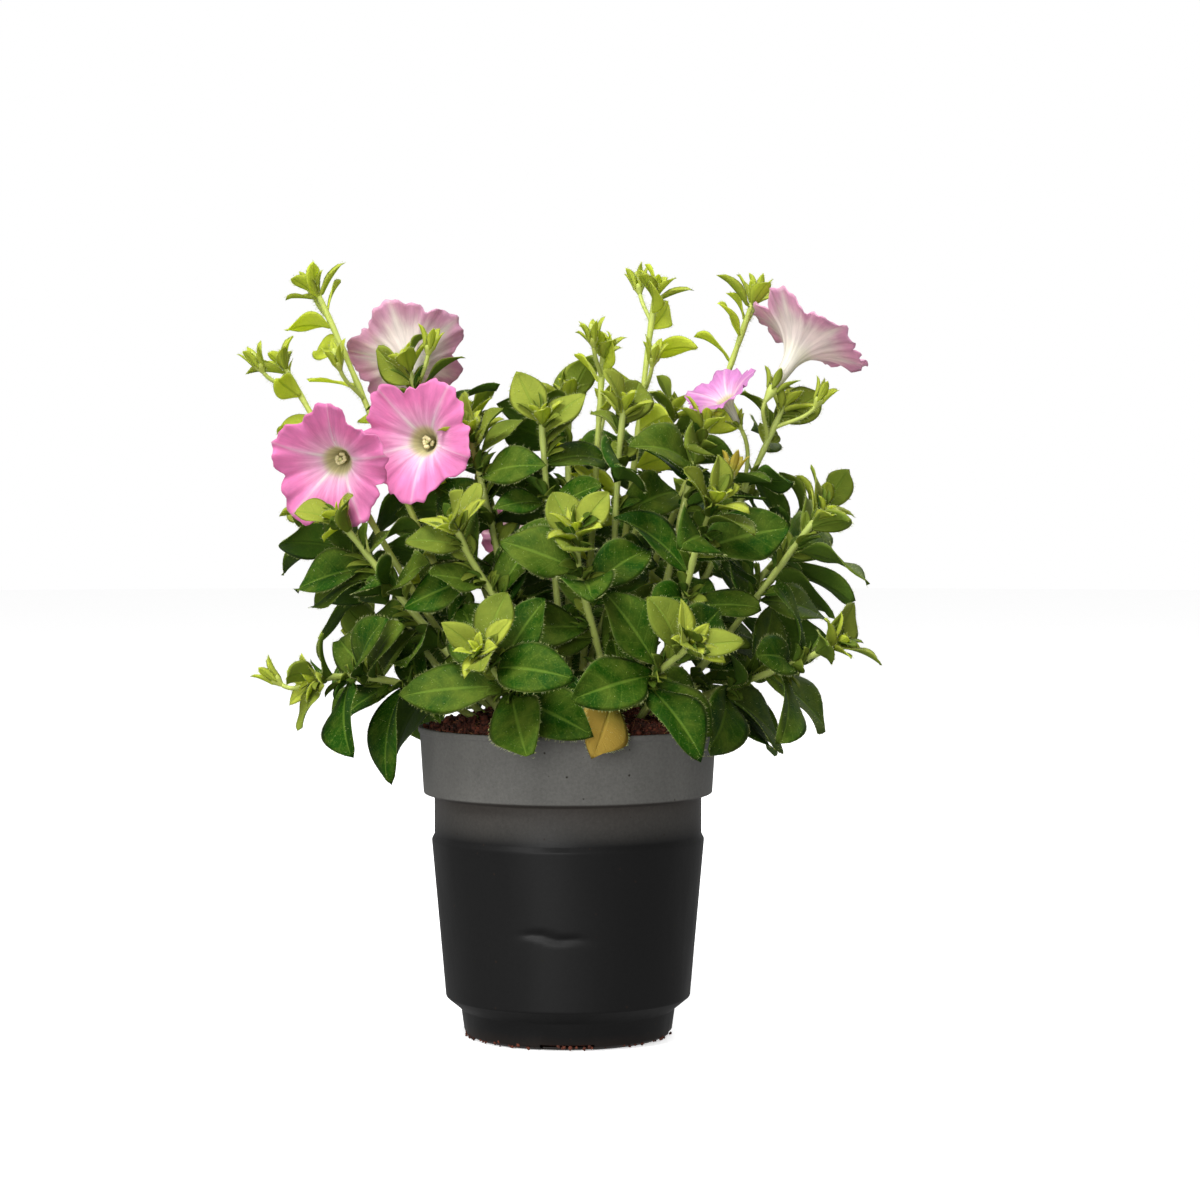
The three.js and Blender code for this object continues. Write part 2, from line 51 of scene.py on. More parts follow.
bl_info = {
    "name": "Potted petunia",
    "version": (1, 0, 0),
    "blender": (4, 5, 0),
    "location": "3D View > Sidebar > Petunia",
    "description": "Leaves, blooms, peat and pot in their full finish, round the packed model",
    "category": "Add Mesh",
}

BODY = "root"
MM = 0.001

# Sizes of the solids, in millimetres. The plant's rules below give the same leaves from them.

LIP_RADIUS = 60
POT_HEIGHT = 124
WALL = 1.3
FOOT_HEIGHT = 11
FOOT_RADIUS = 42.9
STEP_TOP = 16
BODY_RADIUS = 49
SHOULDER_HEIGHT = 79
SHOULDER_RADIUS = 54.6
NECK_RADIUS = 53.5
BAND_BOTTOM = 97
BAND_BOTTOM_RADIUS = 57.8
BAND_TOP = 121.5
BAND_TOP_RADIUS = 59.3
NOTCHES = 4
NOTCH_HEIGHT = 2.4
NOTCH_COLUMNS = 8
POT_COLUMNS = 96

SOIL_EDGE = 121.5
SOIL_CROWN = 130
PEAT_RADIUS = BAND_TOP_RADIUS - WALL - 0.55

STEM_RADIUS = 1.65
SHOOT_RADIUS = 1.0
STALK_RADIUS = 0.85
STEM_FOOT = 112
STEEPEST_LEAN = 0.95
STEM_STEP = 24

LEAF_LENGTH = 39
LEAF_WIDTH = 24.5
LEAF_SPACING = 10
LEAF_LEVELS = 8
BARE_FOOT = 40
ROOT_OFFSET = 0.55
GOLDEN_ANGLE = 2.39996

LIMB_RADIUS = 24
COROLLA_DEPTH = 31
PETALS = 5

LEAF_SPACE = 1.9
STEM_SPACE = 2.1
STALK_SPACE = 1.6
FLOWER_SPACE = 3.2
ROOT_ZONE = 7
FAR_OUT = 99

# Each stem: its shoot tip, how far in degrees it bows out, its buds, and whether it is a
# tall shoot with small, far-set leaves.
STEMS = [
    ((35, 6, 297), 4, 2, True), ((14, -2, 273), 2, 2, True), ((74, 6, 294), 6, 1, True),
    ((-101, 10, 298), 6, 2, True), ((-114, 4, 268), 9, 1, True), ((-64, 2, 268), 7, 1, False),
    ((-38, -22, 240), 7, 0, False), ((-10, -28, 246), 6, 0, False), ((22, -24, 250), 6, 0, False),
    ((54, -22, 244), 9, 0, False), ((0, 24, 256), 5, 0, False), ((-40, 28, 246), 8, 0, False),
    ((42, 30, 250), 8, 0, False), ((86, -8, 252), 10, 1, False), ((-88, -32, 206), 13, 0, False),
    ((-42, -58, 204), 14, 0, False), ((4, -66, 202), 15, 0, False), ((56, -56, 214), 13, 1, False),
    ((98, -28, 208), 14, 0, False), ((104, 34, 212), 13, 0, False), ((58, 74, 208), 13, 0, False),
    ((4, 88, 206), 14, 0, False), ((-54, 78, 206), 13, 0, False), ((-104, 34, 212), 13, 0, False),
    ((-96, -54, 146), -14, 1, False), ((-32, -84, 158), 12, 0, False), ((46, -82, 160), 12, 0, False),
    ((104, -36, 158), 12, 0, False), ((86, 62, 158), 12, 0, False), ((2, 98, 156), 12, 0, False),
    ((-84, 66, 158), 12, 0, False),
]

# Each open flower: its stem, the place of its stalk along that stem, the centre of its limb,
# the way it faces and its size.
FLOWERS = [
    (5, 0.80, (-60, -27, 238), (-0.38, -0.92, 0.06), 1),
    (14, 0.86, (-93, -29, 227), (-0.30, -0.91, -0.28), 1),
    (5, 0.9, (-66, 34, 275), (-0.15, 0.80, 0.58), 1),
    (13, 0.9, (96, -5, 281), (0.52, 0.30, 0.80), 1),
    (13, 0.74, (60, -16, 258), (-0.45, -0.42, 0.79), 0.6),
    (21, 0.8, (-14, 104, 200), (-0.20, 0.95, 0.25), 1),
]

BLOOM_TINTS = ("pink", "pink", "mauve", "mauve", "lilac", "pink")

# A yellowed leaf low on the front and a withering calyx
SPENT_LEAF = (15, -66, 126)
SPENT_BUD = (42, -60, 212)

# Tries for room: how often a stem's foot and a bud turn, how far a leaf shrinks, and by how
# much it then turns and tilts
FOOT_TRIES = 60
BUD_TURNS = 8
SHRINKS = (1, 0.82, 0.65)
TURNS = ((0, 0), (0.6, 0), (-0.6, 0), (0.3, 0.35), (-0.3, -0.35), (1.2, 0.1), (-1.2, -0.1))
# Rings that keep leaves off a bloom: height and radius of each
FUNNEL_ROOM = ((4, 3.5), (10, 4.5), (18, 4), (23, 8), (28, 14), (30, 19), (31, 24))
# Columns of the points that keep leaves, stems and blooms apart
OUT, SPACE, STEM, AXIS = 3, 4, 5, 6
WIDEST_SPACE = 6.5


def unit(vector):
    return vector / np.linalg.norm(vector)


def mix(start, end, share):
    return start + (end - start) * share


def seeded_random(seed):
    """A drawer of the row of random numbers that the solids are laid out with."""
    state = [seed]

    def draw():
        state[0] = state[0] * 16807 % 2147483647
        return state[0] / 2147483647

    return draw


class Curve:
    """A cubic curve with a side vector that stays square to its chord."""

    def __init__(self, start, start_way, end, end_way):
        reach = np.linalg.norm(end - start) * 0.36
        self.knots = np.array([start, start + start_way * reach, end - end_way * reach, end])
        self.side = unit(np.cross(end - start, (0.31, 0.17, 1)))
        places = self.at(np.linspace(0, 1, 201))
        self.length = np.linalg.norm(np.diff(places, axis=0), axis=1).sum()

    def at(self, share):
        share = np.asarray(share, float)[..., None]
        rest = 1 - share
        first, second, third, last = self.knots
        return (rest ** 3 * first + 3 * rest ** 2 * share * second
                + 3 * rest * share ** 2 * third + share ** 3 * last)

    def frame(self, share):
        """Origin, way, side and lift at a share of the curve."""
        share = np.asarray(share, float)
        way = self.at(np.minimum(share + 1e-4, 1)) - self.at(np.maximum(share - 1e-4, 0))
        way /= np.linalg.norm(way, axis=-1, keepdims=True)
        side = self.side - way * (way @ self.side)[..., None]
        side /= np.linalg.norm(side, axis=-1, keepdims=True)
        return self.at(share), way, side, np.cross(way, side)

    def root_frame(self, along):
        """The frame at a share of the curve, with its origin on the solid's straight chords."""
        steps = math.floor(self.length / STEM_STEP + 0.5)
        start = min(math.floor(along * steps), steps - 1)
        chord = self.at([start / steps, (start + 1) / steps])
        origin = mix(chord[0], chord[1], along * steps - start)
        return (origin, *self.frame(along)[1:])


def soil_height(x, y):
    share = np.minimum(1, np.hypot(x, y) / BAND_TOP_RADIUS)
    mound = mix(SOIL_CROWN, SOIL_EDGE, share ** 2.2)
    return mound + np.sin(x * 0.21 + 1) * np.cos(y * 0.19) + 0.5 * np.sin(x * 0.5 - y * 0.43)


# The blade's outline and arch

def blade_point(leaf, along, across, height):
    turned = np.maximum(leaf.arch * along, 1e-6)
    rise = height + leaf.fold * np.abs(across)
    forward = leaf.length * np.sin(turned) / leaf.arch + np.sin(turned) * rise
    upward = np.cos(turned) * rise - leaf.length * (1 - np.cos(turned)) / leaf.arch
    side = np.cross(leaf.way, leaf.top)
    return (leaf.root + np.multiply.outer(forward, leaf.way)
            + np.multiply.outer(upward, leaf.top) + np.multiply.outer(across, side))


def blade_half_width(leaf, along):
    belly = np.maximum(np.sin(math.pi * along ** 1.15), 0) ** 0.85
    return leaf.width / 2 * np.maximum(belly, 0.16 * (1 - along))


# Layout: the rules that the solids were laid out by, with the same draws in the same order

class Room:
    """The points that are taken, each with its own space round it."""

    def __init__(self):
        self.rows = np.zeros((0, 7))

    def take(self, samples):
        self.rows = np.vstack([self.rows, samples])

    def is_clear(self, samples, stem):
        low = samples[:, :3].min(0) - WIDEST_SPACE
        high = samples[:, :3].max(0) + WIDEST_SPACE
        near = self.rows[((self.rows[:, :3] > low) & (self.rows[:, :3] < high)).all(1)]
        joined = (samples[:, None, OUT] < ROOT_ZONE) | (near[:, OUT] < ROOT_ZONE) | (near[:, AXIS] > 0)
        gap = ((samples[:, None, :3] - near[:, :3]) ** 2).sum(2)
        close = gap < (samples[:, None, SPACE] + near[:, SPACE]) ** 2
        return not (close & ~(joined & (near[:, STEM] == stem))).any()


def sample_rows(points, out, space, stem, axis=0):
    rows = np.empty((len(points), 7))
    rows[:, :3] = points
    rows[:, OUT], rows[:, SPACE], rows[:, STEM], rows[:, AXIS] = out, space, stem, axis
    return rows


def curve_samples(curve, stem, axis, space):
    shares = np.arange(math.ceil(curve.length / 2.5) + 1) / math.ceil(curve.length / 2.5)
    return sample_rows(curve.at(shares), curve.length * shares, space, stem, axis)


def blade_samples(leaf, stem):
    rows = math.ceil(leaf.length / 3.2)
    alongs, acrosses = [], []
    for row in range(1, rows + 1):
        half = float(blade_half_width(leaf, row / rows)) if row < rows else 0
        columns = math.ceil(half / 1.6)
        for column in range(columns + 1):
            alongs.append(row / rows)
            acrosses.append(half * (2 * column / columns - 1) if columns else 0)
    alongs = np.array(alongs)
    points = blade_point(leaf, alongs, np.array(acrosses), 0)
    return sample_rows(points, leaf.length * alongs, LEAF_SPACE, stem)


def is_above_ground(samples):
    radius = np.hypot(samples[:, 0], samples[:, 1])
    ground = np.where(radius < LIP_RADIUS + 4,
                      np.maximum(soil_height(samples[:, 0], samples[:, 1]), POT_HEIGHT) + 2.5,
                      BAND_BOTTOM)
    return ((samples[:, OUT] < ROOT_ZONE) | (samples[:, 2] > ground)).all()


def heading_vector(lean, turn):
    return np.array([math.sin(lean) * math.cos(turn), math.sin(lean) * math.sin(turn), math.cos(lean)])


def lay_stem(room, index):
    tip, bow, buds, tall = STEMS[index]
    tip = np.array(tip, float)
    heading = math.atan2(tip[1], tip[0])
    chord = math.atan2(math.hypot(tip[0], tip[1]), tip[2] - SOIL_CROWN)
    bow = math.radians(bow)
    for attempt in range(FOOT_TRIES):
        inset = 3 + 12 * min(1, chord / 1.2) + attempt // 12 * 2.5
        turn = heading + (1 if attempt % 2 else -1) * math.ceil(attempt % 12 / 2) * 0.16
        foot = np.array([inset * math.cos(turn), inset * math.sin(turn), STEM_FOOT])
        start_way = heading_vector(min(chord + bow, STEEPEST_LEAN), turn)
        curve = Curve(foot, start_way, tip, heading_vector(chord - bow, heading))
        samples = curve_samples(curve, index, 1, STEM_SPACE)
        if room.is_clear(samples, index):
            room.take(samples)
            return SimpleNamespace(index=index, curve=curve, bud_count=buds, tall=tall,
                                   blades=[], stalks=[], buds=[], flowers=[])
    raise RuntimeError(f"no room for stem {index}")


def lay_flower(room, stems, index):
    stem_index, along, centre, face, size = FLOWERS[index]
    way = unit(np.array(face, float))
    foot = np.array(centre, float) - way * COROLLA_DEPTH * size
    stem = stems[stem_index]
    start, start_way = stem.curve.root_frame(along)[:2]
    end = foot - way * 3 * size
    stalk = Curve(start, unit(unit(end - start) + start_way), end, way)
    side, lift = stalk.frame(1)[2:]
    stem.stalks.append(stalk)
    stem.flowers.append(SimpleNamespace(index=index, foot=foot, way=way, size=size, ruffle=index * 1.3))
    room.take(curve_samples(stalk, stem_index, 0, STEM_SPACE))
    for height, radius in FUNNEL_ROOM:
        turns = np.arange(math.ceil(radius * 2)) * 2 * math.pi / math.ceil(radius * 2)
        ring = (foot + way * height * size + radius * size
                * (np.multiply.outer(np.cos(turns), side) + np.multiply.outer(np.sin(turns), lift)))
        room.take(sample_rows(ring, FAR_OUT, FLOWER_SPACE, -1 - index))


def leaf_on(stem, along, turn, tilt, size, draw):
    origin, way, side, lift = stem.curve.root_frame(along)
    outward = side * math.cos(turn) + lift * math.sin(turn)
    heading = way * math.cos(tilt) + outward * math.sin(tilt)
    top = unit(np.array([origin[0], origin[1], 0])) + (0, 0, 0.5) + way * 0.3
    top = unit(top - heading * (top @ heading))
    return SimpleNamespace(
        root=origin + heading * ROOT_OFFSET, way=heading, top=top, length=LEAF_LENGTH * size,
        width=LEAF_WIDTH * size * (0.85 + 0.3 * draw[0]), arch=0.3 + 0.7 * draw[1],
        fold=0.12 + 0.2 * draw[2], along=along, tall=stem.tall)


def place_leaf(room, stem, along, turn, tilt, size, random_share):
    draw = [random_share() for _ in range(3)]
    for shrink in SHRINKS:
        for twist, bend in TURNS:
            leaf = leaf_on(stem, along, turn + twist, tilt + bend, size * shrink, draw)
            samples = blade_samples(leaf, stem.index)
            if is_above_ground(samples) and room.is_clear(samples, stem.index):
                room.take(samples)
                stem.blades.append(leaf)
                return


def place_bud(room, stem, along, turn, random_share):
    origin, way, side, lift = stem.curve.root_frame(along)
    for attempt in range(BUD_TURNS):
        angle = turn + attempt * 0.8
        heading = unit(way * 0.8 + (side * math.cos(angle) + lift * math.sin(angle)) * 0.6)
        upright = unit(heading + (0, 0, 1))
        foot = origin + heading * (15 + 5 * random_share())
        stalk = Curve(origin, heading, foot, upright)
        body = Curve(foot, upright, foot + upright * 12, upright)
        body_rows = curve_samples(body, stem.index, 0, FLOWER_SPACE)
        body_rows[:, OUT] = FAR_OUT
        samples = np.vstack([curve_samples(stalk, stem.index, 0, STALK_SPACE), body_rows])
        if room.is_clear(samples, stem.index):
            room.take(samples)
            stem.stalks.append(stalk)
            stem.buds.append(SimpleNamespace(foot=foot, way=upright))
            return


def lay_plant():
    """Every stem with its blades, stalks, buds and flowers, where the solids have them."""
    room = Room()
    stems = [lay_stem(room, index) for index in range(len(STEMS))]
    for index in range(len(FLOWERS)):
        lay_flower(room, stems, index)
    random_share = seeded_random(4177)
    for stem in stems:
        for i in range(stem.bud_count):
            place_bud(room, stem, 0.94 - 0.16 * i, 2.1 * stem.index + 2.6 * i, random_share)
    for stem in stems:
        for i in range(3):
            size = (0.36 if stem.tall else 0.5) + 0.08 * random_share() + 0.06 * i
            turn = i * GOLDEN_ANGLE + stem.index
            place_leaf(room, stem, 0.985 - 0.03 * i, turn, 0.4 + 0.2 * i, size, random_share)
    for level in np.arange(1, LEAF_LEVELS + 0.5, 0.5):
        for stem in stems:
            length = stem.curve.length
            along = 0.95 - level * LEAF_SPACING * (1.5 if stem.tall else 1) / length
            if along * length > BARE_FOOT and not (stem.tall and level % 1):
                grown = 0.45 + 0.07 * level if stem.tall else 0.84 + 0.05 * level
                size = (0.9 + 0.2 * random_share()) * grown
                turn = (level + 3) * GOLDEN_ANGLE + stem.index
                place_leaf(room, stem, along, turn, mix(1.35, 0.9, along), min(size, 1.1), random_share)
    leaves = [leaf for stem in stems for leaf in stem.blades]
    buds = [bud for stem in stems for bud in stem.buds]
    for grown in leaves + buds:
        grown.wither = 0
    min(leaves, key=lambda leaf: np.linalg.norm(blade_point(leaf, 1, 0, 0) - SPENT_LEAF)).wither = 0.85
    min(buds, key=lambda bud: np.linalg.norm(bud.foot - SPENT_BUD)).wither = 0.6
    return stems


# Colours and sizes of the finish

def linear(code):
    """An sRGB hex colour as the linear values that Blender holds."""
    shares = [int(code[i:i + 2], 16) / 255 for i in (1, 3, 5)]
    return tuple(s / 12.92 if s <= 0.04045 else ((s + 0.055) / 1.055) ** 2.4 for s in shares)


def colour(code, name, description):
    return bpy.props.FloatVectorProperty(
        name=name, description=description, default=linear(code), min=0, max=1, size=3, subtype="COLOR")


def length(millimetres, name, description):
    return bpy.props.FloatProperty(
        name=name, description=description, default=millimetres * MM, min=0, precision=5, unit="LENGTH")


def count(number, name, description):
    return bpy.props.IntProperty(name=name, description=description, default=number, min=0)


def factor(share, name, description):
    return bpy.props.FloatProperty(
        name=name, description=description, default=share, min=0, max=1, subtype="FACTOR")


class PetuniaFoliageSettings(bpy.types.PropertyGroup):
    """Leaves, stems, buds and their hairs"""

    blade_thickness: length(0.5, "Blade thickness", "Thickness of a leaf between its veins")
    rib_depth: length(0.45, "Rib depth", "How deep the midrib is sunk into the upper side")
    wave_height: length(2.1, "Wave height", "How far a leaf's margin waves up and down")
    hair_length: length(1.7, "Hair length", "Length of the soft hairs on stems and margins")
    hair_width: length(0.13, "Hair width", "Width of a hair at its root")
    stem_hairs: count(6, "Stem hairs", "Hairs on each millimetre of stem")
    blade_hairs: count(3, "Leaf hairs", "Hairs on each millimetre of leaf")
    # The grown leaf's deep green is kept dark: partly its own colour, partly painted shade on the lower
    # foliage.
    mature_and_shade: colour("#1a4200", "Mature leaf", "Upper side of a grown leaf")
    young: colour("#d2da58", "Young leaf", "Upper side of a leaf at a shoot's tip")
    underside: colour("#55782a", "Underside", "Paler and greyer underside of a leaf")
    vein: colour("#7d9c38", "Vein", "Midrib and side veins")
    withered: colour("#bd9c46", "Withered", "A spent leaf or calyx")
    skin: colour("#a3b465", "Stem", "Skin of the stems and stalks")
    hair: colour("#e9efd2", "Hair", "The soft hairs")


class PetuniaBloomSettings(bpy.types.PropertyGroup):
    """Corollas and what stands in their throats"""

    petal_thickness: length(0.4, "Petal thickness", "Thickness of the joined petals")
    ruffle: length(0.8, "Ruffle", "Height of the fine ruffles round the limb")
    crease: length(1.3, "Crease", "Depth of the fold between two petals")
    rim: colour("#ec88c0", "Rim", "Pink of the limb's outer half")
    pale: colour("#f2bcdc", "Pale", "Pale pink towards the throat and along each petal's middle")
    throat: colour("#cfc795", "Throat", "Greenish cream inside the tube")
    star: colour("#f3e6e8", "Star", "White star round the throat")
    back: colour("#dba0be", "Back", "Duller mauve pink of the limb's outer face")
    mauve: colour("#e3adc8", "Ageing bloom", "Pale mauve pink of a bloom that is past its best")
    tube: colour("#f0ebe0", "Tube", "White outside of the tube")
    lilac: colour("#d48cc8", "Half-open bloom", "Lilac of a bloom that is still opening")
    anther: colour("#ddd3a0", "Anthers", "Cream anthers")
    stigma: colour("#c3c586", "Stigma", "Green stigma on the style")


class PetuniaPotSettings(bpy.types.PropertyGroup):
    """The nursery pot and the peat in it"""

    corner: length(0.5, "Corner radius", "Rounding of the pot's moulded edges")
    dent: length(1.3, "Dent", "Depth of the crease that was pressed into the front")
    crumb: length(1.15, "Crumb size", "Mean radius of a crumb of peat")
    crumbs: count(2600, "Crumbs", "Loose crumbs on the surface")
    fibres: count(420, "Fibres", "Coir fibres among the crumbs")
    body: colour("#111111", "Body", "Charcoal plastic of the body and foot")
    # The band's paler grey is painted top light.
    band: colour("#6d6c68", "Band", "Paler, dusty plastic of the rim band")
    # This brown colours the peat stains and also paints shade in the neck under the band.
    dirt_and_shade: colour("#241b15", "Dirt", "Dried peat stains")
    peat_dark: colour("#1c0b06", "Dark peat", "Moist peat between the crumbs")
    peat_warm: colour("#7c3c24", "Warm peat", "Dry peat crumbs")
    coir: colour("#bd8c5c", "Coir", "Coir fibres and bark chips")


class PetuniaStudioSettings(bpy.types.PropertyGroup):
    """Camera, lamps and floor"""

    distance: length(1230, "Distance", "Camera in front of the pot's axis")
    height: length(216, "Height", "Camera above the floor")
    offset: length(12.8, "Offset", "Camera to the right of the pot's axis")
    pitch: bpy.props.FloatProperty(
        name="Pitch", description="How far the camera looks down", default=math.radians(1.94),
        unit="ROTATION")
    lens: bpy.props.FloatProperty(
        name="Lens", description="Focal length in millimetres", default=92.25, min=1, unit="CAMERA")
    rear: bpy.props.FloatProperty(
        name="Rear", description="Power of the softbox behind", default=14, min=0, unit="POWER")
    floor: colour("#f4f4f4", "Floor", "Plain pale floor")
    daylight: factor(0.42, "Daylight", "Strength of the even light from all round")
    key: bpy.props.FloatProperty(
        name="Key", description="Power of the large softbox above", default=40, min=0, unit="POWER")
    fill: bpy.props.FloatProperty(
        name="Fill", description="Power of the low softbox in front", default=20, min=0, unit="POWER")


def settings(name):
    return getattr(bpy.context.scene, name)


# Materials

def add_node(tree, kind, inputs=(), **properties):
    """Adds a node, sets its properties, and sets its inputs or links them to sockets or nodes.
    The inputs are a row for the first sockets, or are keyed by name. A MapRange's row is its
    value, the two ends it comes in and the two ends it is brought to."""
    node = tree.nodes.new("ShaderNode" + kind)
    for name, value in properties.items():
        setattr(node, name, value)
    for key, value in inputs.items() if isinstance(inputs, dict) else enumerate(inputs):
        socket = node.inputs[key] if isinstance(key, int) else next(
            one for one in node.inputs if one.enabled and one.name == key)
        if isinstance(value, bpy.types.Node):
            value = next(one for one in value.outputs if one.enabled)
        if isinstance(value, bpy.types.NodeSocket):
            tree.links.new(value, socket)
        elif socket.type == "RGBA" and len(value) == 3:
            socket.default_value = (*value, 1)
        else:
            socket.default_value = value
    return node


def new_material(name):
    """A named material, its tree, and the socket of a point's place on its object."""
    material = bpy.data.materials.new(name)
    material.use_nodes = True
    tree = material.node_tree
    tree.nodes.clear()
    return material, tree, add_node(tree, "TexCoord").outputs["Object"]


def per_metre(millimetres):
    """The scale of a pattern that repeats after so many millimetres."""
    return 1 / (millimetres * MM)


def attribute_parts(tree, name):
    """The three parts of one of the mesh's own attributes."""
    whole = add_node(tree, "Attribute", attribute_name=name).outputs["Vector"]
    return add_node(tree, "SeparateXYZ", (whole,)).outputs


def finish_material(tree, skin, relief=(), through=0, light=None):
    """Ends a tree with its shader. A relief is a height, a strength and a depth in millimetres,
    and light shines through where the material is thin."""
    if relief:
        height, strength, depth = relief
        skin["Normal"] = add_node(tree, "Bump", {"Height": height, "Strength": strength,
                                                 "Distance": depth * MM})
    surface = add_node(tree, "BsdfPrincipled", skin)
    if through:
        glow = add_node(tree, "BsdfTranslucent", {"Color": light})
        surface = add_node(tree, "MixShader", (through, surface, glow))
    add_node(tree, "OutputMaterial", {"Surface": surface})


def leaf_material():
    """Petunia leaf: a soft living blade, matt and felted by short hairs. Deep green with a sunk,
    paler midrib and side veins above, paler and greyer beneath, yellow-green while it is young.
    The dark green further down each stem is partly painted shade, and the light that the down
    catches is painted as fine pale flecks."""
    s = settings("petunia_foliage")
    material, tree, place = new_material("petunia_leaf")
    across, along, under = attribute_parts(tree, "blade")
    youth, chance, wither = attribute_parts(tree, "age")
    blotches = add_node(tree, "TexNoise", {"Vector": place, "Scale": per_metre(9), "Detail": 3,
                                           "Roughness": 0.6})
    felt = add_node(tree, "TexNoise", {"Vector": place, "Scale": per_metre(0.7), "Detail": 2,
                                       "Roughness": 0.6})
    out = add_node(tree, "Math", (across,), operation="ABSOLUTE")
    # Side veins run out and forward from the midrib, about seven to a side.
    lean = add_node(tree, "Math", (out, -1.5, 0), operation="MULTIPLY_ADD")
    row = add_node(tree, "Math", (along, 7, lean), operation="MULTIPLY_ADD")
    near = add_node(tree, "Math", (row, 0.5), operation="PINGPONG")
    side_veins = add_node(tree, "MapRange", (near, 0, 0.09, 0.26, 0),
                          interpolation_type="SMOOTHSTEP")
    midrib = add_node(tree, "MapRange", (out, 0.02, 0.1, 1, 0), interpolation_type="SMOOTHSTEP")
    veins = add_node(tree, "Math", (midrib, side_veins), operation="MAXIMUM")
    margin = add_node(tree, "MapRange", (out, 0.92, 1, 0, 0.35), interpolation_type="SMOOTHSTEP")
    vein_share = add_node(tree, "Math", (veins, 0.34), operation="MULTIPLY")
    # Lighter towards a shoot's tip, darker further down: partly the colour of young growth, partly
    # painted light on the upper leaves and painted shade on the lower ones.
    shade = add_node(tree, "Math", (chance, 0.09, youth), operation="MULTIPLY_ADD")
    patch = add_node(tree, "MapRange", (blotches, 0.3, 0.7, -0.06, 0.07))
    ripe_and_lit = add_node(tree, "Math", (shade, patch), operation="ADD", use_clamp=True)
    green = add_node(tree, "Mix", {"Factor": ripe_and_lit, "A": s.mature_and_shade, "B": s.young}, data_type="RGBA")
    ribbed = add_node(tree, "Mix", {"Factor": vein_share, "A": green, "B": s.vein},
                      data_type="RGBA")
    veined = add_node(tree, "Mix", {"Factor": margin, "A": ribbed, "B": s.skin}, data_type="RGBA")
    greyness = add_node(tree, "MapRange", (youth, 0, 1, 0.55, 0.08))
    dull = add_node(tree, "Math", (under, greyness), operation="MULTIPLY")
    sided = add_node(tree, "Mix", {"Factor": dull, "A": veined, "B": s.underside}, data_type="RGBA")
    # The down shows as fine pale flecks: painted sheen where it catches the light.
    painted_sheen = add_node(tree, "MapRange", (felt, 0.52, 0.72, 0, 0.22))
    sheened = add_node(tree, "Mix", {"Factor": painted_sheen, "A": sided, "B": s.vein}, data_type="RGBA")
    # A leaf yellows from its tip.
    tipward = add_node(tree, "MapRange", (along, 0.1, 0.5, 0.3, 1))
    yellowing = add_node(tree, "Math", (wither, tipward), operation="MULTIPLY")
    spent = add_node(tree, "Mix", {"Factor": yellowing, "A": sheened, "B": s.withered},
                     data_type="RGBA")
    relief = add_node(tree, "Math", (veins, -1.2, felt), operation="MULTIPLY_ADD")
    rough = add_node(tree, "MapRange", (blotches, 0.3, 0.7, 0.56, 0.74))
    glow = add_node(tree, "HueSaturation", {"Value": 1.3, "Saturation": 1.1, "Color": spent})
    # A young blade is thinner, so more light comes through.
    thin = add_node(tree, "MapRange", (youth, 0, 1, 0.18, 0.48))
    finish_material(tree, {"Base Color": spent, "Roughness": rough, "IOR": 1.42,
                           "Specular IOR Level": 0.12}, (relief, 0.7, 0.35), thin, glow)
    return material


def stem_material():
    """Petunia stem: a juicy, pale green skin with fine lengthwise ribs under its down."""
    s = settings("petunia_foliage")
    material, tree, place = new_material("petunia_stem")
    fresh, _, wither = attribute_parts(tree, "age")
    blotches = add_node(tree, "TexNoise", {"Vector": place, "Scale": per_metre(5), "Detail": 4})
    fine = add_node(tree, "TexNoise", {"Vector": place, "Scale": per_metre(0.5), "Detail": 2})
    youth = add_node(tree, "Math", (fresh, blotches, 0.1), operation="MULTIPLY_ADD", use_clamp=True)
    green = add_node(tree, "Mix", {"Factor": youth, "A": s.skin, "B": s.young}, data_type="RGBA")
    spent = add_node(tree, "Mix", {"Factor": wither, "A": green, "B": s.withered}, data_type="RGBA")
    finish_material(tree, {"Base Color": spent, "Roughness": 0.5, "IOR": 1.42, "Sheen Weight": 0.1,
                           "Sheen Roughness": 0.4, "Sheen Tint": s.hair}, (fine, 0.4, 0.15), 0.15,
                    spent)
    return material


def hair_material():
    """Plant hair: clear, thin-walled cells that scatter light and glow when lit from behind."""
    s = settings("petunia_foliage")
    material, tree, place = new_material("plant_hair")
    uneven = add_node(tree, "TexNoise", {"Vector": place, "Scale": per_metre(4)})
    tone = add_node(tree, "Mix", {"Factor": uneven, "A": s.young, "B": s.hair}, data_type="RGBA")
    finish_material(tree, {"Base Color": tone, "Roughness": 0.4, "IOR": 1.4}, (), 0.5, tone)
    return material


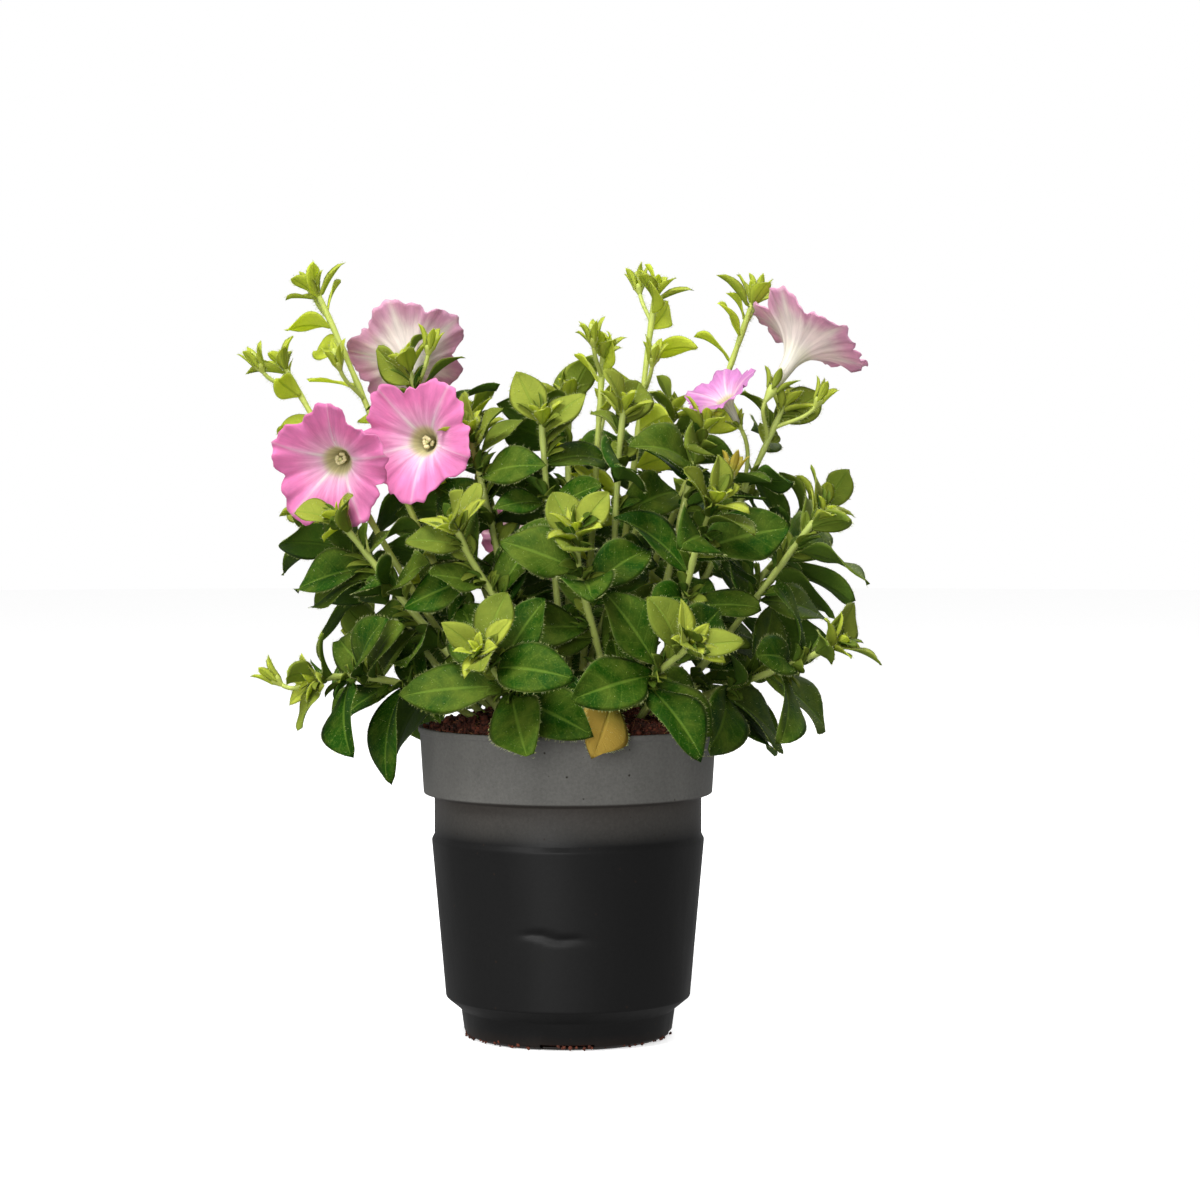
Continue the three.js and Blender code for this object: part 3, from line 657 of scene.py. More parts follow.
def petal_material(name, rim, back):
    """Petunia petal: a thin, velvety sheet, translucent and finely creased. White round the
    throat and along each petal's middle, pink to the rim, and duller on its outer face."""
    s = settings("petunia_bloom")
    material, tree, place = new_material(name)
    turn, radius, outside = attribute_parts(tree, "petal")
    # Middle is 1 along each petal's middle and 0 where two petals join.
    lobes = add_node(tree, "Math", (turn, PETALS * 2 * math.pi), operation="MULTIPLY")
    swing = add_node(tree, "Math", (lobes,), operation="COSINE")
    middle = add_node(tree, "Math", (swing, -0.5, 0.5), operation="MULTIPLY_ADD")
    ray = add_node(tree, "Math", (middle, 14), operation="POWER")
    line = add_node(tree, "Math", (middle, 260), operation="POWER")
    # Veins fan out from the throat: noise that is fine round the limb and long across it.
    round_share = add_node(tree, "Math", (turn, 34), operation="MULTIPLY")
    out_share = add_node(tree, "Math", (radius, 1.3), operation="MULTIPLY")
    fan = add_node(tree, "CombineXYZ", (round_share, out_share, outside))
    streaks = add_node(tree, "TexNoise", {"Vector": fan, "Scale": 1, "Detail": 5,
                                          "Roughness": 0.65})
    clouds = add_node(tree, "TexNoise", {"Vector": place, "Scale": per_metre(8), "Detail": 3})
    reach = add_node(tree, "Math", (ray, 0.2, 0.4), operation="MULTIPLY_ADD")
    frayed = add_node(tree, "Math", (streaks, 0.4, reach), operation="MULTIPLY_ADD")
    inner = add_node(tree, "Math", (frayed, radius), operation="SUBTRACT")
    paleness = add_node(tree, "MapRange", (inner, -0.12, 0.38, 0, 1),
                        interpolation_type="SMOOTHSTEP")
    whiteness = add_node(tree, "MapRange", (inner, 0.22, 0.5, 0, 1),
                         interpolation_type="SMOOTHSTEP")
    depth = add_node(tree, "MapRange", (radius, 0.3, 0.19, 0, 1), interpolation_type="SMOOTHSTEP")
    face = add_node(tree, "Mix", {"Factor": paleness, "A": rim, "B": s.pale}, data_type="RGBA")
    lined = add_node(tree, "Math", (line, 0.3), operation="MULTIPLY")
    lit = add_node(tree, "Math", (lined, whiteness), operation="MAXIMUM")
    star = add_node(tree, "Mix", {"Factor": lit, "A": face, "B": s.star}, data_type="RGBA")
    front = add_node(tree, "Mix", {"Factor": depth, "A": star, "B": s.throat}, data_type="RGBA")
    tube_share = add_node(tree, "MapRange", (inner, -0.3, 0.1, 0, 1),
                          interpolation_type="SMOOTHSTEP")
    rear = add_node(tree, "Mix", {"Factor": tube_share, "A": back, "B": s.tube}, data_type="RGBA")
    sided = add_node(tree, "Mix", {"Factor": outside, "A": front, "B": rear}, data_type="RGBA")
    tone = add_node(tree, "MapRange", (clouds, 0.3, 0.7, 0.93, 1.05))
    vein_tone = add_node(tree, "MapRange", (streaks, 0.35, 0.65, 0.78, 1.06))
    value = add_node(tree, "Math", (tone, vein_tone), operation="MULTIPLY")
    tinted = add_node(tree, "HueSaturation", {"Value": value, "Color": sided})
    finish_material(tree, {"Base Color": tinted, "Roughness": 0.62, "IOR": 1.38,
                           "Sheen Weight": 0.15, "Sheen Roughness": 0.5}, (streaks, 0.5, 0.5), 0.35,
                    tinted)
    return material


def pollen_material(name, tone):
    """Pollen sacs and stigma: dry, grainy and matt, or moist and green."""
    material, tree, place = new_material(name)
    grains = add_node(tree, "TexVoronoi", {"Vector": place, "Scale": per_metre(0.25)})
    value = add_node(tree, "MapRange", (grains, 0, 0.8, 1.08, 0.8))
    tinted = add_node(tree, "HueSaturation", {"Value": value, "Color": (*tone, 1)})
    finish_material(tree, {"Base Color": tinted, "Roughness": 0.75}, (grains, 0.6, 0.1))
    return material


def pot_material():
    """Recycled polypropylene, thinly injection-moulded: charcoal and satin. The rim band is painted
    paler as painted top light, and the neck under it carries dried peat stains and painted shade;
    peat stains also gather round the foot and in small specks."""
    s = settings("petunia_pot")
    material, tree, place = new_material("moulded_polypropylene")
    height = add_node(tree, "SeparateXYZ", (place,)).outputs[2]
    stretch = add_node(tree, "Mapping", {"Vector": place, "Scale": (1, 1, 0.25)})
    clouds = add_node(tree, "TexNoise", {"Vector": stretch, "Scale": per_metre(26), "Detail": 5,
                                         "Roughness": 0.6})
    grain = add_node(tree, "TexNoise", {"Vector": place, "Scale": per_metre(1.2), "Detail": 4,
                                        "Roughness": 0.7})
    ragged = add_node(tree, "VectorMath", (grain.outputs["Color"], (MM, MM, MM), place),
                      operation="MULTIPLY_ADD")
    specks = add_node(tree, "TexVoronoi", {"Vector": ragged, "Scale": per_metre(8)})
    up = add_node(tree, "Math", (clouds, 6 * MM, height), operation="MULTIPLY_ADD")
    # Painted light: the band is painted paler than the charcoal body, as if lit from above with the body
    # below in shade; the clouds make that light uneven.
    banded = add_node(tree, "MapRange", (height, (SHOULDER_HEIGHT + 2) * MM, BAND_BOTTOM * MM, 0,
                                         1))
    toplit = add_node(tree, "MapRange", (clouds, 0.25, 0.75, 0.7, 1))
    band_light = add_node(tree, "Math", (banded, toplit), operation="MULTIPLY")
    plastic = add_node(tree, "Mix", {"Factor": band_light, "A": s.body, "B": s.band}, data_type="RGBA")
    # Dried peat stains and painted shade darken the neck, most just under the band; peat stains gather
    # round the foot.
    neck = add_node(tree, "MapRange", (up, (BAND_BOTTOM - 12) * MM, (BAND_BOTTOM + 2) * MM, 0, 1))
    neck_end = add_node(tree, "MapRange", (height, BAND_BOTTOM * MM, (BAND_BOTTOM + 1) * MM, 1, 0))
    foot = add_node(tree, "MapRange", (up, 3 * MM, 9 * MM, 1, 0))
    neck_stain_and_shade = add_node(tree, "Math", (neck, neck_end), operation="MULTIPLY")
    stain_and_shade = add_node(tree, "Math", (neck_stain_and_shade, foot), operation="MAXIMUM")
    spots = add_node(tree, "MapRange", (specks, 0.03, 0.075, 0.9, 0))
    faint_stain_and_shade = add_node(tree, "Math", (stain_and_shade, 0.75), operation="MULTIPLY")
    stain_and_shade_share = add_node(tree, "Math", (faint_stain_and_shade, spots), operation="MAXIMUM")
    stained_and_shaded = add_node(tree, "Mix", {"Factor": stain_and_shade_share, "A": plastic, "B": s.dirt_and_shade}, data_type="RGBA")
    value = add_node(tree, "MapRange", (grain, 0.3, 0.7, 0.84, 1.12))
    tinted = add_node(tree, "HueSaturation", {"Value": value, "Color": stained_and_shaded})
    rough = add_node(tree, "MapRange", (clouds, 0.3, 0.7, 0.42, 0.6))
    finish_material(tree, {"Base Color": tinted, "Roughness": rough, "IOR": 1.49,
                           "Specular IOR Level": 0.2}, (grain, 0.25, 0.12))
    return material


def peat_material(name, dark, warm):
    """Peat and coir: dead plant fibre, crumbly and quite matt, darker where it is moist."""
    material, tree, place = new_material(name)
    lumps = add_node(tree, "TexNoise", {"Vector": place, "Scale": per_metre(4), "Detail": 6,
                                        "Roughness": 0.7})
    crumbs = add_node(tree, "TexVoronoi", {"Vector": place, "Scale": per_metre(1.1)})
    share = add_node(tree, "MapRange", (lumps, 0.36, 0.66, 0, 1))
    tone = add_node(tree, "Mix", {"Factor": share, "A": dark, "B": warm}, data_type="RGBA")
    value = add_node(tree, "MapRange", (crumbs, 0, 0.8, 1.25, 0.6))
    tinted = add_node(tree, "HueSaturation", {"Value": value, "Color": tone})
    finish_material(tree, {"Base Color": tinted, "Roughness": 0.9}, (lumps, 0.8, 0.6))
    return material


def floor_material():
    """Matt studio paper, with the faintest mottle."""
    s = settings("petunia_studio")
    material, tree, place = new_material("studio_paper")
    mottle = add_node(tree, "TexNoise", {"Vector": place, "Scale": per_metre(300)})
    value = add_node(tree, "MapRange", {"Value": mottle, "To Min": 0.99, "To Max": 1.01})
    tinted = add_node(tree, "HueSaturation", {"Value": value, "Color": (*s.floor, 1)})
    finish_material(tree, {"Base Color": tinted, "Roughness": 0.9, "Emission Color": s.floor,
                           "Emission Strength": 0.64})
    return material


# Closed forms, each drawn out of a small ball or spike and gathered in one mesh a piece

def mesh_from(made, name):
    """A bmesh's mesh. The bmesh is given up."""
    mesh = bpy.data.meshes.new(name)
    made.to_mesh(mesh)
    made.free()
    return mesh


class Form:
    """A small closed mesh, with each corner's share along its axis and turn about it."""

    def __init__(self, made, rings=0):
        self.corners = np.array([corner.co for corner in made.verts])
        self.faces = len(made.faces)
        self.rings = rings
        self.mesh = mesh_from(made, "form")
        self.along = np.arccos(np.clip(self.corners[:, 2], -1, 1)) / math.pi
        self.turn = np.arctan2(self.corners[:, 1], self.corners[:, 0])
        self.pole = np.hypot(self.corners[:, 0], self.corners[:, 1]) < 1e-3


def ball(meridians, rings):
    """A ball with a meridian at turn 0, which becomes a margin where it makes a blade."""
    made = bmesh.new()
    bmesh.ops.create_uvsphere(made, u_segments=meridians, v_segments=rings, radius=1)
    bmesh.ops.rotate(made, matrix=Matrix.Rotation(-math.pi / 2, 3, "Z"), verts=made.verts[:])
    return Form(made, rings)


SPIKE_CORNERS = 4


def spikes(number):
    """A block of thin three-sided spikes, which stand for as many hairs."""
    made = bmesh.new()
    bmesh.ops.create_cone(made, segments=3, radius1=1, radius2=0, depth=1, cap_ends=True)
    bmesh.ops.remove_doubles(made, verts=made.verts[:], dist=1e-5)
    single = mesh_from(made, "spike")
    block = bmesh.new()
    for _ in range(number):
        block.from_mesh(single)
    return Form(block)


class Growth:
    """One piece in the making: copies of closed forms, with each corner in its place."""

    def __init__(self):
        self.made = bmesh.new()
        self.corners, self.blades, self.ages, self.finishes = [], [], [], []

    def add(self, form, corners, finish, blade=(0, 0, 0), age=(0, 0, 0)):
        self.made.from_mesh(form.mesh)
        self.corners.append(corners)
        self.blades.append(np.broadcast_to(blade, corners.shape))
        self.ages.append(np.broadcast_to(age, corners.shape))
        self.finishes.append(np.full(form.faces, finish))

    def piece(self, name, slot, node, materials):
        mesh = mesh_from(self.made, name)
        mesh.vertices.foreach_set("co", (np.concatenate(self.corners) * MM).ravel())
        for label, rows in (("blade", self.blades), ("age", self.ages)):
            layer = mesh.attributes.new(label, "FLOAT_VECTOR", "POINT")
            layer.data.foreach_set("vector", np.concatenate(rows).ravel())
        mesh.polygons.foreach_set("material_index", np.concatenate(self.finishes))
        mesh.shade_smooth()
        mesh.update()
        return make_piece(mesh, name, node, materials)


def make_piece(mesh, name, node, materials):
    """The finished object: it rides on the plant's body and stands for its CAD node."""
    piece = bpy.data.objects.new(name, mesh)
    bpy.context.scene.collection.objects.link(piece)
    for material in materials:
        mesh.materials.append(material)
    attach(piece, BODY)
    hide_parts(node)
    return piece


# Foliage

LEAF, SKIN, HAIR = range(3)
# How much narrower the finished blade is at its tip than the solid's
TIP_TAPER = 0.22
# Share of a leaf's hairs that stand along its margins
MARGIN_HAIRS = 0.75
SEPAL_WIDTH = 3.7
TIP_LEAVES = 8
AXIL_LEAVES = 3
SHORTEST_WITH_AXIL = 20


def drawn_half_width(leaf, along):
    """The finished blade's half width: the solid's, drawn in towards a sharper tip."""
    return blade_half_width(leaf, along) * (1 - TIP_TAPER * along ** 2)


def surface_height(leaf, along, reach, sizes):
    """How far a blade's middle surface lies off its plain arch: sunk rib and waved margin."""
    across = reach * drawn_half_width(leaf, along)
    groove = sizes.rib_depth / MM * np.exp(-(across / 0.9) ** 2) * (1 - along * 0.8)
    wave = np.sin(leaf.waves * along + leaf.phase * np.sign(reach)) * reach ** 2
    return wave * sizes.wave_height / MM * leaf.length / LEAF_LENGTH - groove


def grow_leaf(growth, form, leaf, age, sizes):
    reach = 1 - 2 * np.abs(form.turn) / math.pi
    half = np.where(form.pole, 0, drawn_half_width(leaf, form.along))
    above = np.where(form.turn > 0, 1.0, -1.0)
    girth = np.minimum(1, 2.2 * np.sqrt(np.maximum(1 - reach ** 2, 0)))
    thick = sizes.blade_thickness / MM / 2 * girth * np.minimum(1, 0.3 + 6 * form.along)
    thick = np.where(form.pole, 0, thick)
    height = surface_height(leaf, form.along, reach, sizes) + above * thick
    corners = blade_point(leaf, form.along, reach * half, height)
    under = np.sin(form.turn) < -1e-3
    blade = np.stack([reach, form.along, under], axis=1)
    growth.add(form, corners, LEAF, blade, age)


def grow_rod(growth, form, curve, radii, age, finish=SKIN, joints=()):
    share = np.clip((form.along * form.rings - 1) / (form.rings - 2), 0, 1)
    origin, _, side, lift = curve.frame(share)
    radius = np.where(form.pole, 0, np.interp(share, np.linspace(0, 1, len(radii)), radii))
    for joint in joints:
        radius *= 1 + 0.3 * np.exp(-((share - joint) * curve.length / 2.2) ** 2)
    corners = (origin + side * (np.cos(form.turn) * radius)[:, None]
               - lift * (np.sin(form.turn) * radius)[:, None])
    growth.add(form, corners, finish, age=age)


def whole_blocks(form, number):
    """A number of hairs, rounded up to whole blocks of the form's spikes."""
    block = len(form.corners) // SPIKE_CORNERS
    return math.ceil(number / block) * block


def grow_hairs(growth, form, roots, ways, lengths, width):
    """Hairs in whole blocks: each block of the form takes the next roots."""
    block = len(form.corners) // SPIKE_CORNERS
    local = form.corners[:SPIKE_CORNERS]
    for start in range(0, len(roots) - block + 1, block):
        some = slice(start, start + block)
        way = ways[some] / np.linalg.norm(ways[some], axis=1, keepdims=True)
        side = np.cross(way, (0.37, 0.61, 0.7))
        side /= np.linalg.norm(side, axis=1, keepdims=True)
        lift = np.cross(way, side)
        reach = (local[:, 2] + 0.5)[None, :, None] * (way * lengths[some, None])[:, None]
        round_way = (local[:, 0][None, :, None] * side[:, None]
                     + local[:, 1][None, :, None] * lift[:, None])
        corners = roots[some][:, None] + reach + round_way * width / 2
        growth.add(form, corners.reshape(-1, 3), HAIR)


def stem_hairs(growth, form, curve, radii, sizes, draws):
    number = whole_blocks(form, curve.length * sizes.stem_hairs)
    share = draws.uniform(0.02, 1, number)
    turn = draws.uniform(0, 2 * math.pi, number)
    origin, way, side, lift = curve.frame(share)
    outward = side * np.cos(turn)[:, None] + lift * np.sin(turn)[:, None]
    radius = np.interp(share, np.linspace(0, 1, len(radii)), radii)
    roots = origin + outward * (radius * 0.85)[:, None]
    ways = outward + way * draws.uniform(-0.3, 0.5, number)[:, None]
    lengths = sizes.hair_length / MM * draws.uniform(0.5, 1.3, number)
    grow_hairs(growth, form, roots, ways, lengths, sizes.hair_width / MM)


def leaf_hairs(growth, form, leaf, sizes, draws):
    """Hairs along both margins and thinly over the upper side."""
    number = whole_blocks(form, leaf.length * sizes.blade_hairs)
    along = draws.uniform(0.04, 0.98, number)
    margin = draws.uniform(0, 1, number) < MARGIN_HAIRS
    reach = np.where(margin, np.sign(draws.uniform(-1, 1, number)), draws.uniform(-0.9, 0.9, number))
    across = reach * drawn_half_width(leaf, along)
    height = surface_height(leaf, along, reach, sizes)
    roots = blade_point(leaf, along, across, height)
    lifted = blade_point(leaf, along, across, height + 1) - roots
    side = np.cross(leaf.way, leaf.top)
    ways = (np.where(margin, reach, 0)[:, None] * side + leaf.way * 0.35
            + lifted * np.where(margin, draws.uniform(-0.4, 0.4, number), 1)[:, None])
    lengths = sizes.hair_length / MM * draws.uniform(0.35, 0.8, number)
    grow_hairs(growth, form, roots, ways, lengths, sizes.hair_width / MM)


def new_leaf(root, way, top, length, width, arch=0.3, fold=0.15):
    way = unit(np.asarray(way, float))
    top = np.asarray(top, float)
    top = unit(top - way * (top @ way))
    return SimpleNamespace(root=root, way=way, top=top, length=length, width=width, arch=arch,
                           fold=fold, waves=4.0, phase=1.0)


def bloom_axes(way):
    """The two directions across a bloom or calyx that stands along way."""
    turn = Vector((0, 1, 0)).rotation_difference(Vector(way))
    return np.array(turn @ Vector((1, 0, 0))), np.array(turn @ Vector((0, 0, 1)))


def grow_calyx(growth, forms, foot, way, size, sepal, radii, age, sizes, draws):
    """A cup of five joined sepals with free, narrow, spreading ends."""
    x_axis, z_axis = bloom_axes(way)
    cup = Curve(foot - way * radii[0] * size, way, foot + way * 3 * size, way)
    grow_rod(growth, forms.stalk, cup, [r * size for r in (0.85, 1.5, 2.2, 2.4)], age)
    for k in range(PETALS):
        angle = k * 2 * math.pi / PETALS
        outward = x_axis * math.cos(angle) + z_axis * math.sin(angle)
        root = foot + (way * 0.8 + outward * 1.6) * size
        leaf = new_leaf(root, way + outward * radii[1], way * 0.2 - outward,
                        sepal * size * draws.uniform(0.9, 1.1), SEPAL_WIDTH * size, 0.3, 0.25)
        grow_leaf(growth, forms.leaflet, leaf, age, sizes)
        leaf_hairs(growth, forms.hairs, leaf, sizes, draws)


def grow_tip(growth, forms, stem, sizes, draws):
    """The cluster of small, upright leaves that a shoot ends in."""
    _, way, side, lift = stem.curve.frame(1)
    tip = stem.curve.at(1)
    scale = 1.35 if stem.tall else 1.3
    for k in range(TIP_LEAVES):
        turn = k * GOLDEN_ANGLE + stem.index
        tilt = 0.15 + 0.11 * k
        outward = side * math.cos(turn) + lift * math.sin(turn)
        heading = way * math.cos(tilt) + outward * math.sin(tilt)
        long = (5.5 + 1.25 * k) * scale * draws.uniform(0.85, 1.15)
        leaf = new_leaf(tip - way * (0.5 * k), heading, way - outward * 0.5, long, long * 0.46,
                        0.35, 0.3)
        grow_leaf(growth, forms.leaflet, leaf, (1.0 - 0.05 * k, draws.uniform(0, 1), 0), sizes)
        leaf_hairs(growth, forms.hairs, leaf, sizes, draws)


def grow_axils(growth, forms, stem, sizes, draws):
    """Short side shoots: a few small leaves that stand in the angle of each grown leaf."""
    for leaf in stem.blades:
        if leaf.tall or leaf.length < SHORTEST_WITH_AXIL:
            continue
        _, way, _, _ = stem.curve.frame(leaf.along)
        side = np.cross(leaf.way, leaf.top)
        for k in range(AXIL_LEAVES):
            spread = side * (k - 1) * 0.8 + draws.uniform(-0.25, 0.25, 3)
            long = draws.uniform(8, 13)
            small = new_leaf(leaf.root + way * (1 + 0.6 * k), way * 0.9 + leaf.way * 0.5 + spread,
                             way - leaf.way, long, long * 0.5, 0.4, 0.3)
            youth = draws.uniform(0, 0.35) * leaf.along
            grow_leaf(growth, forms.leaflet, small, (youth, draws.uniform(0, 1), 0), sizes)


def leaf_age(leaf, draws):
    """Youth, chance and wither of a leaf from its place on the stem."""
    # Leaves of tall shoots and near a shoot's tip are lightened and lower ones stay dark: partly the
    # colour of young growth, partly painted light above and painted shade below.
    if leaf.tall:
        youth = np.clip((leaf.along - 0.1) / 0.4, 0, 1)
    else:
        youth = np.clip((leaf.along - 0.86) / 0.3, 0, 0.5)
    return youth * draws.uniform(0.85, 1), draws.uniform(0, 1), leaf.wither


def grow_stem(stem, forms, sizes, materials):
    draws = np.random.default_rng(stem.index + 51)
    growth = Growth()
    youth = 0.7 if stem.tall else 0.35
    stem_age = (youth, 0.5, 0)
    joints = [leaf.along for leaf in stem.blades]
    radii = (STEM_RADIUS, SHOOT_RADIUS)
    grow_rod(growth, forms.stem, stem.curve, radii, stem_age, joints=joints)
    stem_hairs(growth, forms.hairs, stem.curve, radii, sizes, draws)
    for stalk in stem.stalks:
        grow_rod(growth, forms.stalk, stalk, (STALK_RADIUS, STALK_RADIUS), (0.6, 0.5, 0))
        stem_hairs(growth, forms.hairs, stalk, (STALK_RADIUS, STALK_RADIUS), sizes, draws)
    for leaf in stem.blades:
        leaf.waves, leaf.phase = draws.uniform(5, 9), draws.uniform(0, 6)
        grow_leaf(growth, forms.leaf, leaf, leaf_age(leaf, draws), sizes)
        leaf_hairs(growth, forms.hairs, leaf, sizes, draws)
    for bud in stem.buds:
        age = (0.8, 0.5, bud.wither)
        grow_calyx(growth, forms, bud.foot, bud.way, 1, 10.5, (1, 0.22), age, sizes, draws)
        core = Curve(bud.foot + bud.way * 2, bud.way, bud.foot + bud.way * 8.5, bud.way)
        grow_rod(growth, forms.stalk, core, (1.6, 1.9, 1.5, 0.5), (0.9, 0.5, 0))
    for flower in stem.flowers:
        grow_calyx(growth, forms, flower.foot, flower.way, flower.size, 11, (4, 0.5),
                   (0.55, 0.5, 0), sizes, draws)
    grow_tip(growth, forms, stem, sizes, draws)
    grow_axils(growth, forms, stem, sizes, draws)
    number = f"{stem.index + 1:02d}"
    return growth.piece(f"grown_stem_{number}", "foliage", f"leafy_stem_{number}", materials)


# Blooms

TUBE_HEIGHT = 15
FILAMENT_FOOT = 9
STYLE_TOP = 18.4
STIGMA_TOP = 19.6


def funnel_profile():
    """Radius and height along the funnel's section, from its foot to its rim."""
    tube = [(0, 0.2), (1.3, 0.3)] + [(1.4 + 1.8 * t, TUBE_HEIGHT * t) for t in np.linspace(0.1, 0.95, 7)]
    knots = np.array([(3.2, TUBE_HEIGHT), (5.0, 23), (12, 28), (LIMB_RADIUS, COROLLA_DEPTH)])
    flare = []
    for t in np.linspace(0, 1, 26):
        weights = ((1 - t) ** 3, 3 * (1 - t) ** 2 * t, 3 * (1 - t) * t ** 2, t ** 3)
        flare.append(tuple(np.dot(weights, knots)))
    return tube + flare


def ruffled(radius, height, turn, ruffle, sizes):
    """A point of the limb: lobed, notched where two petals join, folded and ruffled."""
    share = radius / LIMB_RADIUS
    reach = share ** 3
    lobes = math.cos(PETALS * turn)
    notch = 0.07 * lobes + 0.07 * max(lobes, 0) ** 12
    scallop = 0.026 * math.sin(17 * turn + ruffle) + 0.018 * math.sin(29 * turn + 3 * ruffle)
    uneven = 0.03 * math.sin(2 * turn + 3 * ruffle) + 0.02 * math.sin(7 * turn + ruffle)
    tear = 0.12 * max(math.cos(turn - 2 * ruffle - 1), 0) ** 90
    wave = math.sin(2 * turn + ruffle) + 0.8 * math.sin(3 * turn + 2 * ruffle) - 0.7 * lobes
    edge = (math.sin(11 * turn + 2 * ruffle) + 0.7 * math.sin(19 * turn + ruffle)
            + 0.4 * math.sin(31 * turn - ruffle)) * sizes.ruffle / MM
    fold = max(lobes, 0) ** 10 * share * sizes.crease / MM
    rib = max(-lobes, 0) ** 40 * share * 0.35
    return (radius * (1 - reach * (notch + uneven + tear - scallop)),
            height + reach * (wave + edge * share ** 2) - fold + rib)


def spun(profile, steps, axis):
    """A bmesh of a section of radii and heights that is spun full round, closed at its poles."""
    made = bmesh.new()
    section = [made.verts.new((radius, height, 0) if axis == "Y" else (radius, 0, height))
               for radius, height in profile]
    edges = [made.edges.new(pair) for pair in zip(section, section[1:])]
    bmesh.ops.spin(made, geom=section + edges, cent=(0, 0, 0), dvec=(0, 0, 0),
                   axis=(0, 1, 0) if axis == "Y" else (0, 0, 1), angle=2 * math.pi, steps=steps,
                   use_merge=True)
    bmesh.ops.remove_doubles(made, verts=made.verts[:], dist=1e-4)
    bmesh.ops.recalc_face_normals(made, faces=made.faces[:])
    return made


def make_corolla(flower, materials):
    sizes = settings("petunia_bloom")
    made = spun(funnel_profile(), 120, "Y")
    layer = made.verts.layers.float_vector.new("petal")
    shell = bmesh.ops.solidify(made, geom=made.faces[:], thickness=-sizes.petal_thickness / MM)
    inside = {corner for corner in shell["geom"] if isinstance(corner, bmesh.types.BMVert)}
    for corner in made.verts:
        radius = math.hypot(corner.co.x, corner.co.z)
        turn = math.atan2(corner.co.z, corner.co.x)
        corner[layer] = (turn / (2 * math.pi), radius / LIMB_RADIUS, corner not in inside)
        wide, height = ruffled(radius, corner.co.y, turn, flower.ruffle, sizes)
        corner.co = (wide * math.cos(turn), height, wide * math.sin(turn))
    bmesh.ops.recalc_face_normals(made, faces=made.faces[:])
    turned = Vector((0, 1, 0)).rotation_difference(Vector(flower.way)).to_matrix().to_4x4()
    place = Matrix.Translation(Vector(flower.foot) * MM) @ turned @ Matrix.Scale(flower.size * MM, 4)
    bmesh.ops.transform(made, matrix=place, verts=made.verts[:])
    number = f"{flower.index + 1:02d}"
    mesh = mesh_from(made, f"bloom_{number}")
    mesh.shade_smooth()
    return make_piece(mesh, f"bloom_{number}", f"corolla_{number}", materials)


def make_anthers(flower, forms, materials):
    """Five filaments with their pollen sacs round a style with its stigma."""
    filament, sac, stigma = range(3)
    x_axis, z_axis = bloom_axes(flower.way)
    way, size, none = flower.way, flower.size, (0, 0, 0)
    growth = Growth()
    for k in range(PETALS):
        turn = (k + 0.5) * 2 * math.pi / PETALS
        outward = x_axis * math.cos(turn) + z_axis * math.sin(turn)
        tangent = np.cross(way, outward)
        height, spread = STYLE_TOP + 1.2 * math.sin(2.3 * k), 1.5 + 0.4 * math.cos(4 * k)
        top = flower.foot + (way * height + outward * spread) * size
        foot = flower.foot + (way * FILAMENT_FOOT + outward * 1.2) * size
        grow_rod(growth, forms.stalk, Curve(foot, way, top, way), (0.25 * size, 0.2 * size), none,
                 filament)
        for side in (-1, 1):
            low = top + (tangent * side * 0.42 - way * 0.9) * size
            high = top + (tangent * side * 0.42 + way * 0.9 + outward * 0.2) * size
            grow_rod(growth, forms.bead, Curve(low, way, high, way),
                     [radius * size for radius in (0.35, 0.85, 0.85, 0.35)], none, sac)
    foot, neck, top = (flower.foot + way * height * size
                       for height in (FILAMENT_FOOT, STYLE_TOP, STIGMA_TOP))
    grow_rod(growth, forms.stalk, Curve(foot, way, neck, way), (0.3 * size, 0.3 * size), none, filament)
    grow_rod(growth, forms.bead, Curve(neck, way, top, way),
             [radius * size for radius in (0.4, 0.9, 0.85, 0.4)], none, stigma)
    number = f"{flower.index + 1:02d}"
    return growth.piece(f"anthers_{number}", "anther", f"stamens_{number}", materials)


# Pot and peat

FLOOR_EDGE = 38
FOOT_CRUMBS = 110
DENT_HEIGHT = 45
DENT_SIDE = -4.5
DENT_HALF_WIDTH = 11
DENT_HALF_HEIGHT = 1.3


def pot_outside():
    """The outer section from the axis up to the lip's top, with fine rows up the body."""
    rows = [(0, 0), (FLOOR_EDGE, 0), (38.6, 0), (41.6, 1.6), (41.7, NOTCH_HEIGHT),
            (FOOT_RADIUS, FOOT_HEIGHT)]
    for share in np.linspace(0, 1, 64):
        rows.append((mix(BODY_RADIUS, SHOULDER_RADIUS, share), mix(STEP_TOP, SHOULDER_HEIGHT, share)))
    return rows + [
        (NECK_RADIUS, SHOULDER_HEIGHT + 2), (NECK_RADIUS, BAND_BOTTOM - 1),
        (BAND_BOTTOM_RADIUS, BAND_BOTTOM + 0.5), (BAND_TOP_RADIUS, BAND_TOP),
        (LIP_RADIUS, BAND_TOP + 0.5), (LIP_RADIUS, POT_HEIGHT)]


def pot_inside():
    """The inner section from the lip down to the floor's middle."""
    lean = (STEP_TOP - FOOT_HEIGHT) / (BODY_RADIUS - FOOT_RADIUS)
    rows = [(BAND_TOP_RADIUS - WALL, POT_HEIGHT), (BAND_BOTTOM_RADIUS - WALL, BAND_BOTTOM + 1.8),
            (NECK_RADIUS - WALL, BAND_BOTTOM + 0.6), (NECK_RADIUS - WALL, SHOULDER_HEIGHT + 2.4)]
    for share in np.linspace(1, 0, 21):
        rows.append((mix(BODY_RADIUS, SHOULDER_RADIUS, share) - WALL,
                     mix(STEP_TOP + WALL * lean, SHOULDER_HEIGHT, share)))
    return rows + [(FOOT_RADIUS - WALL, FOOT_HEIGHT + WALL), (40.4, NOTCH_HEIGHT + 0.3), (39.6, WALL),
                   (FLOOR_EDGE, WALL), (0, WALL)]


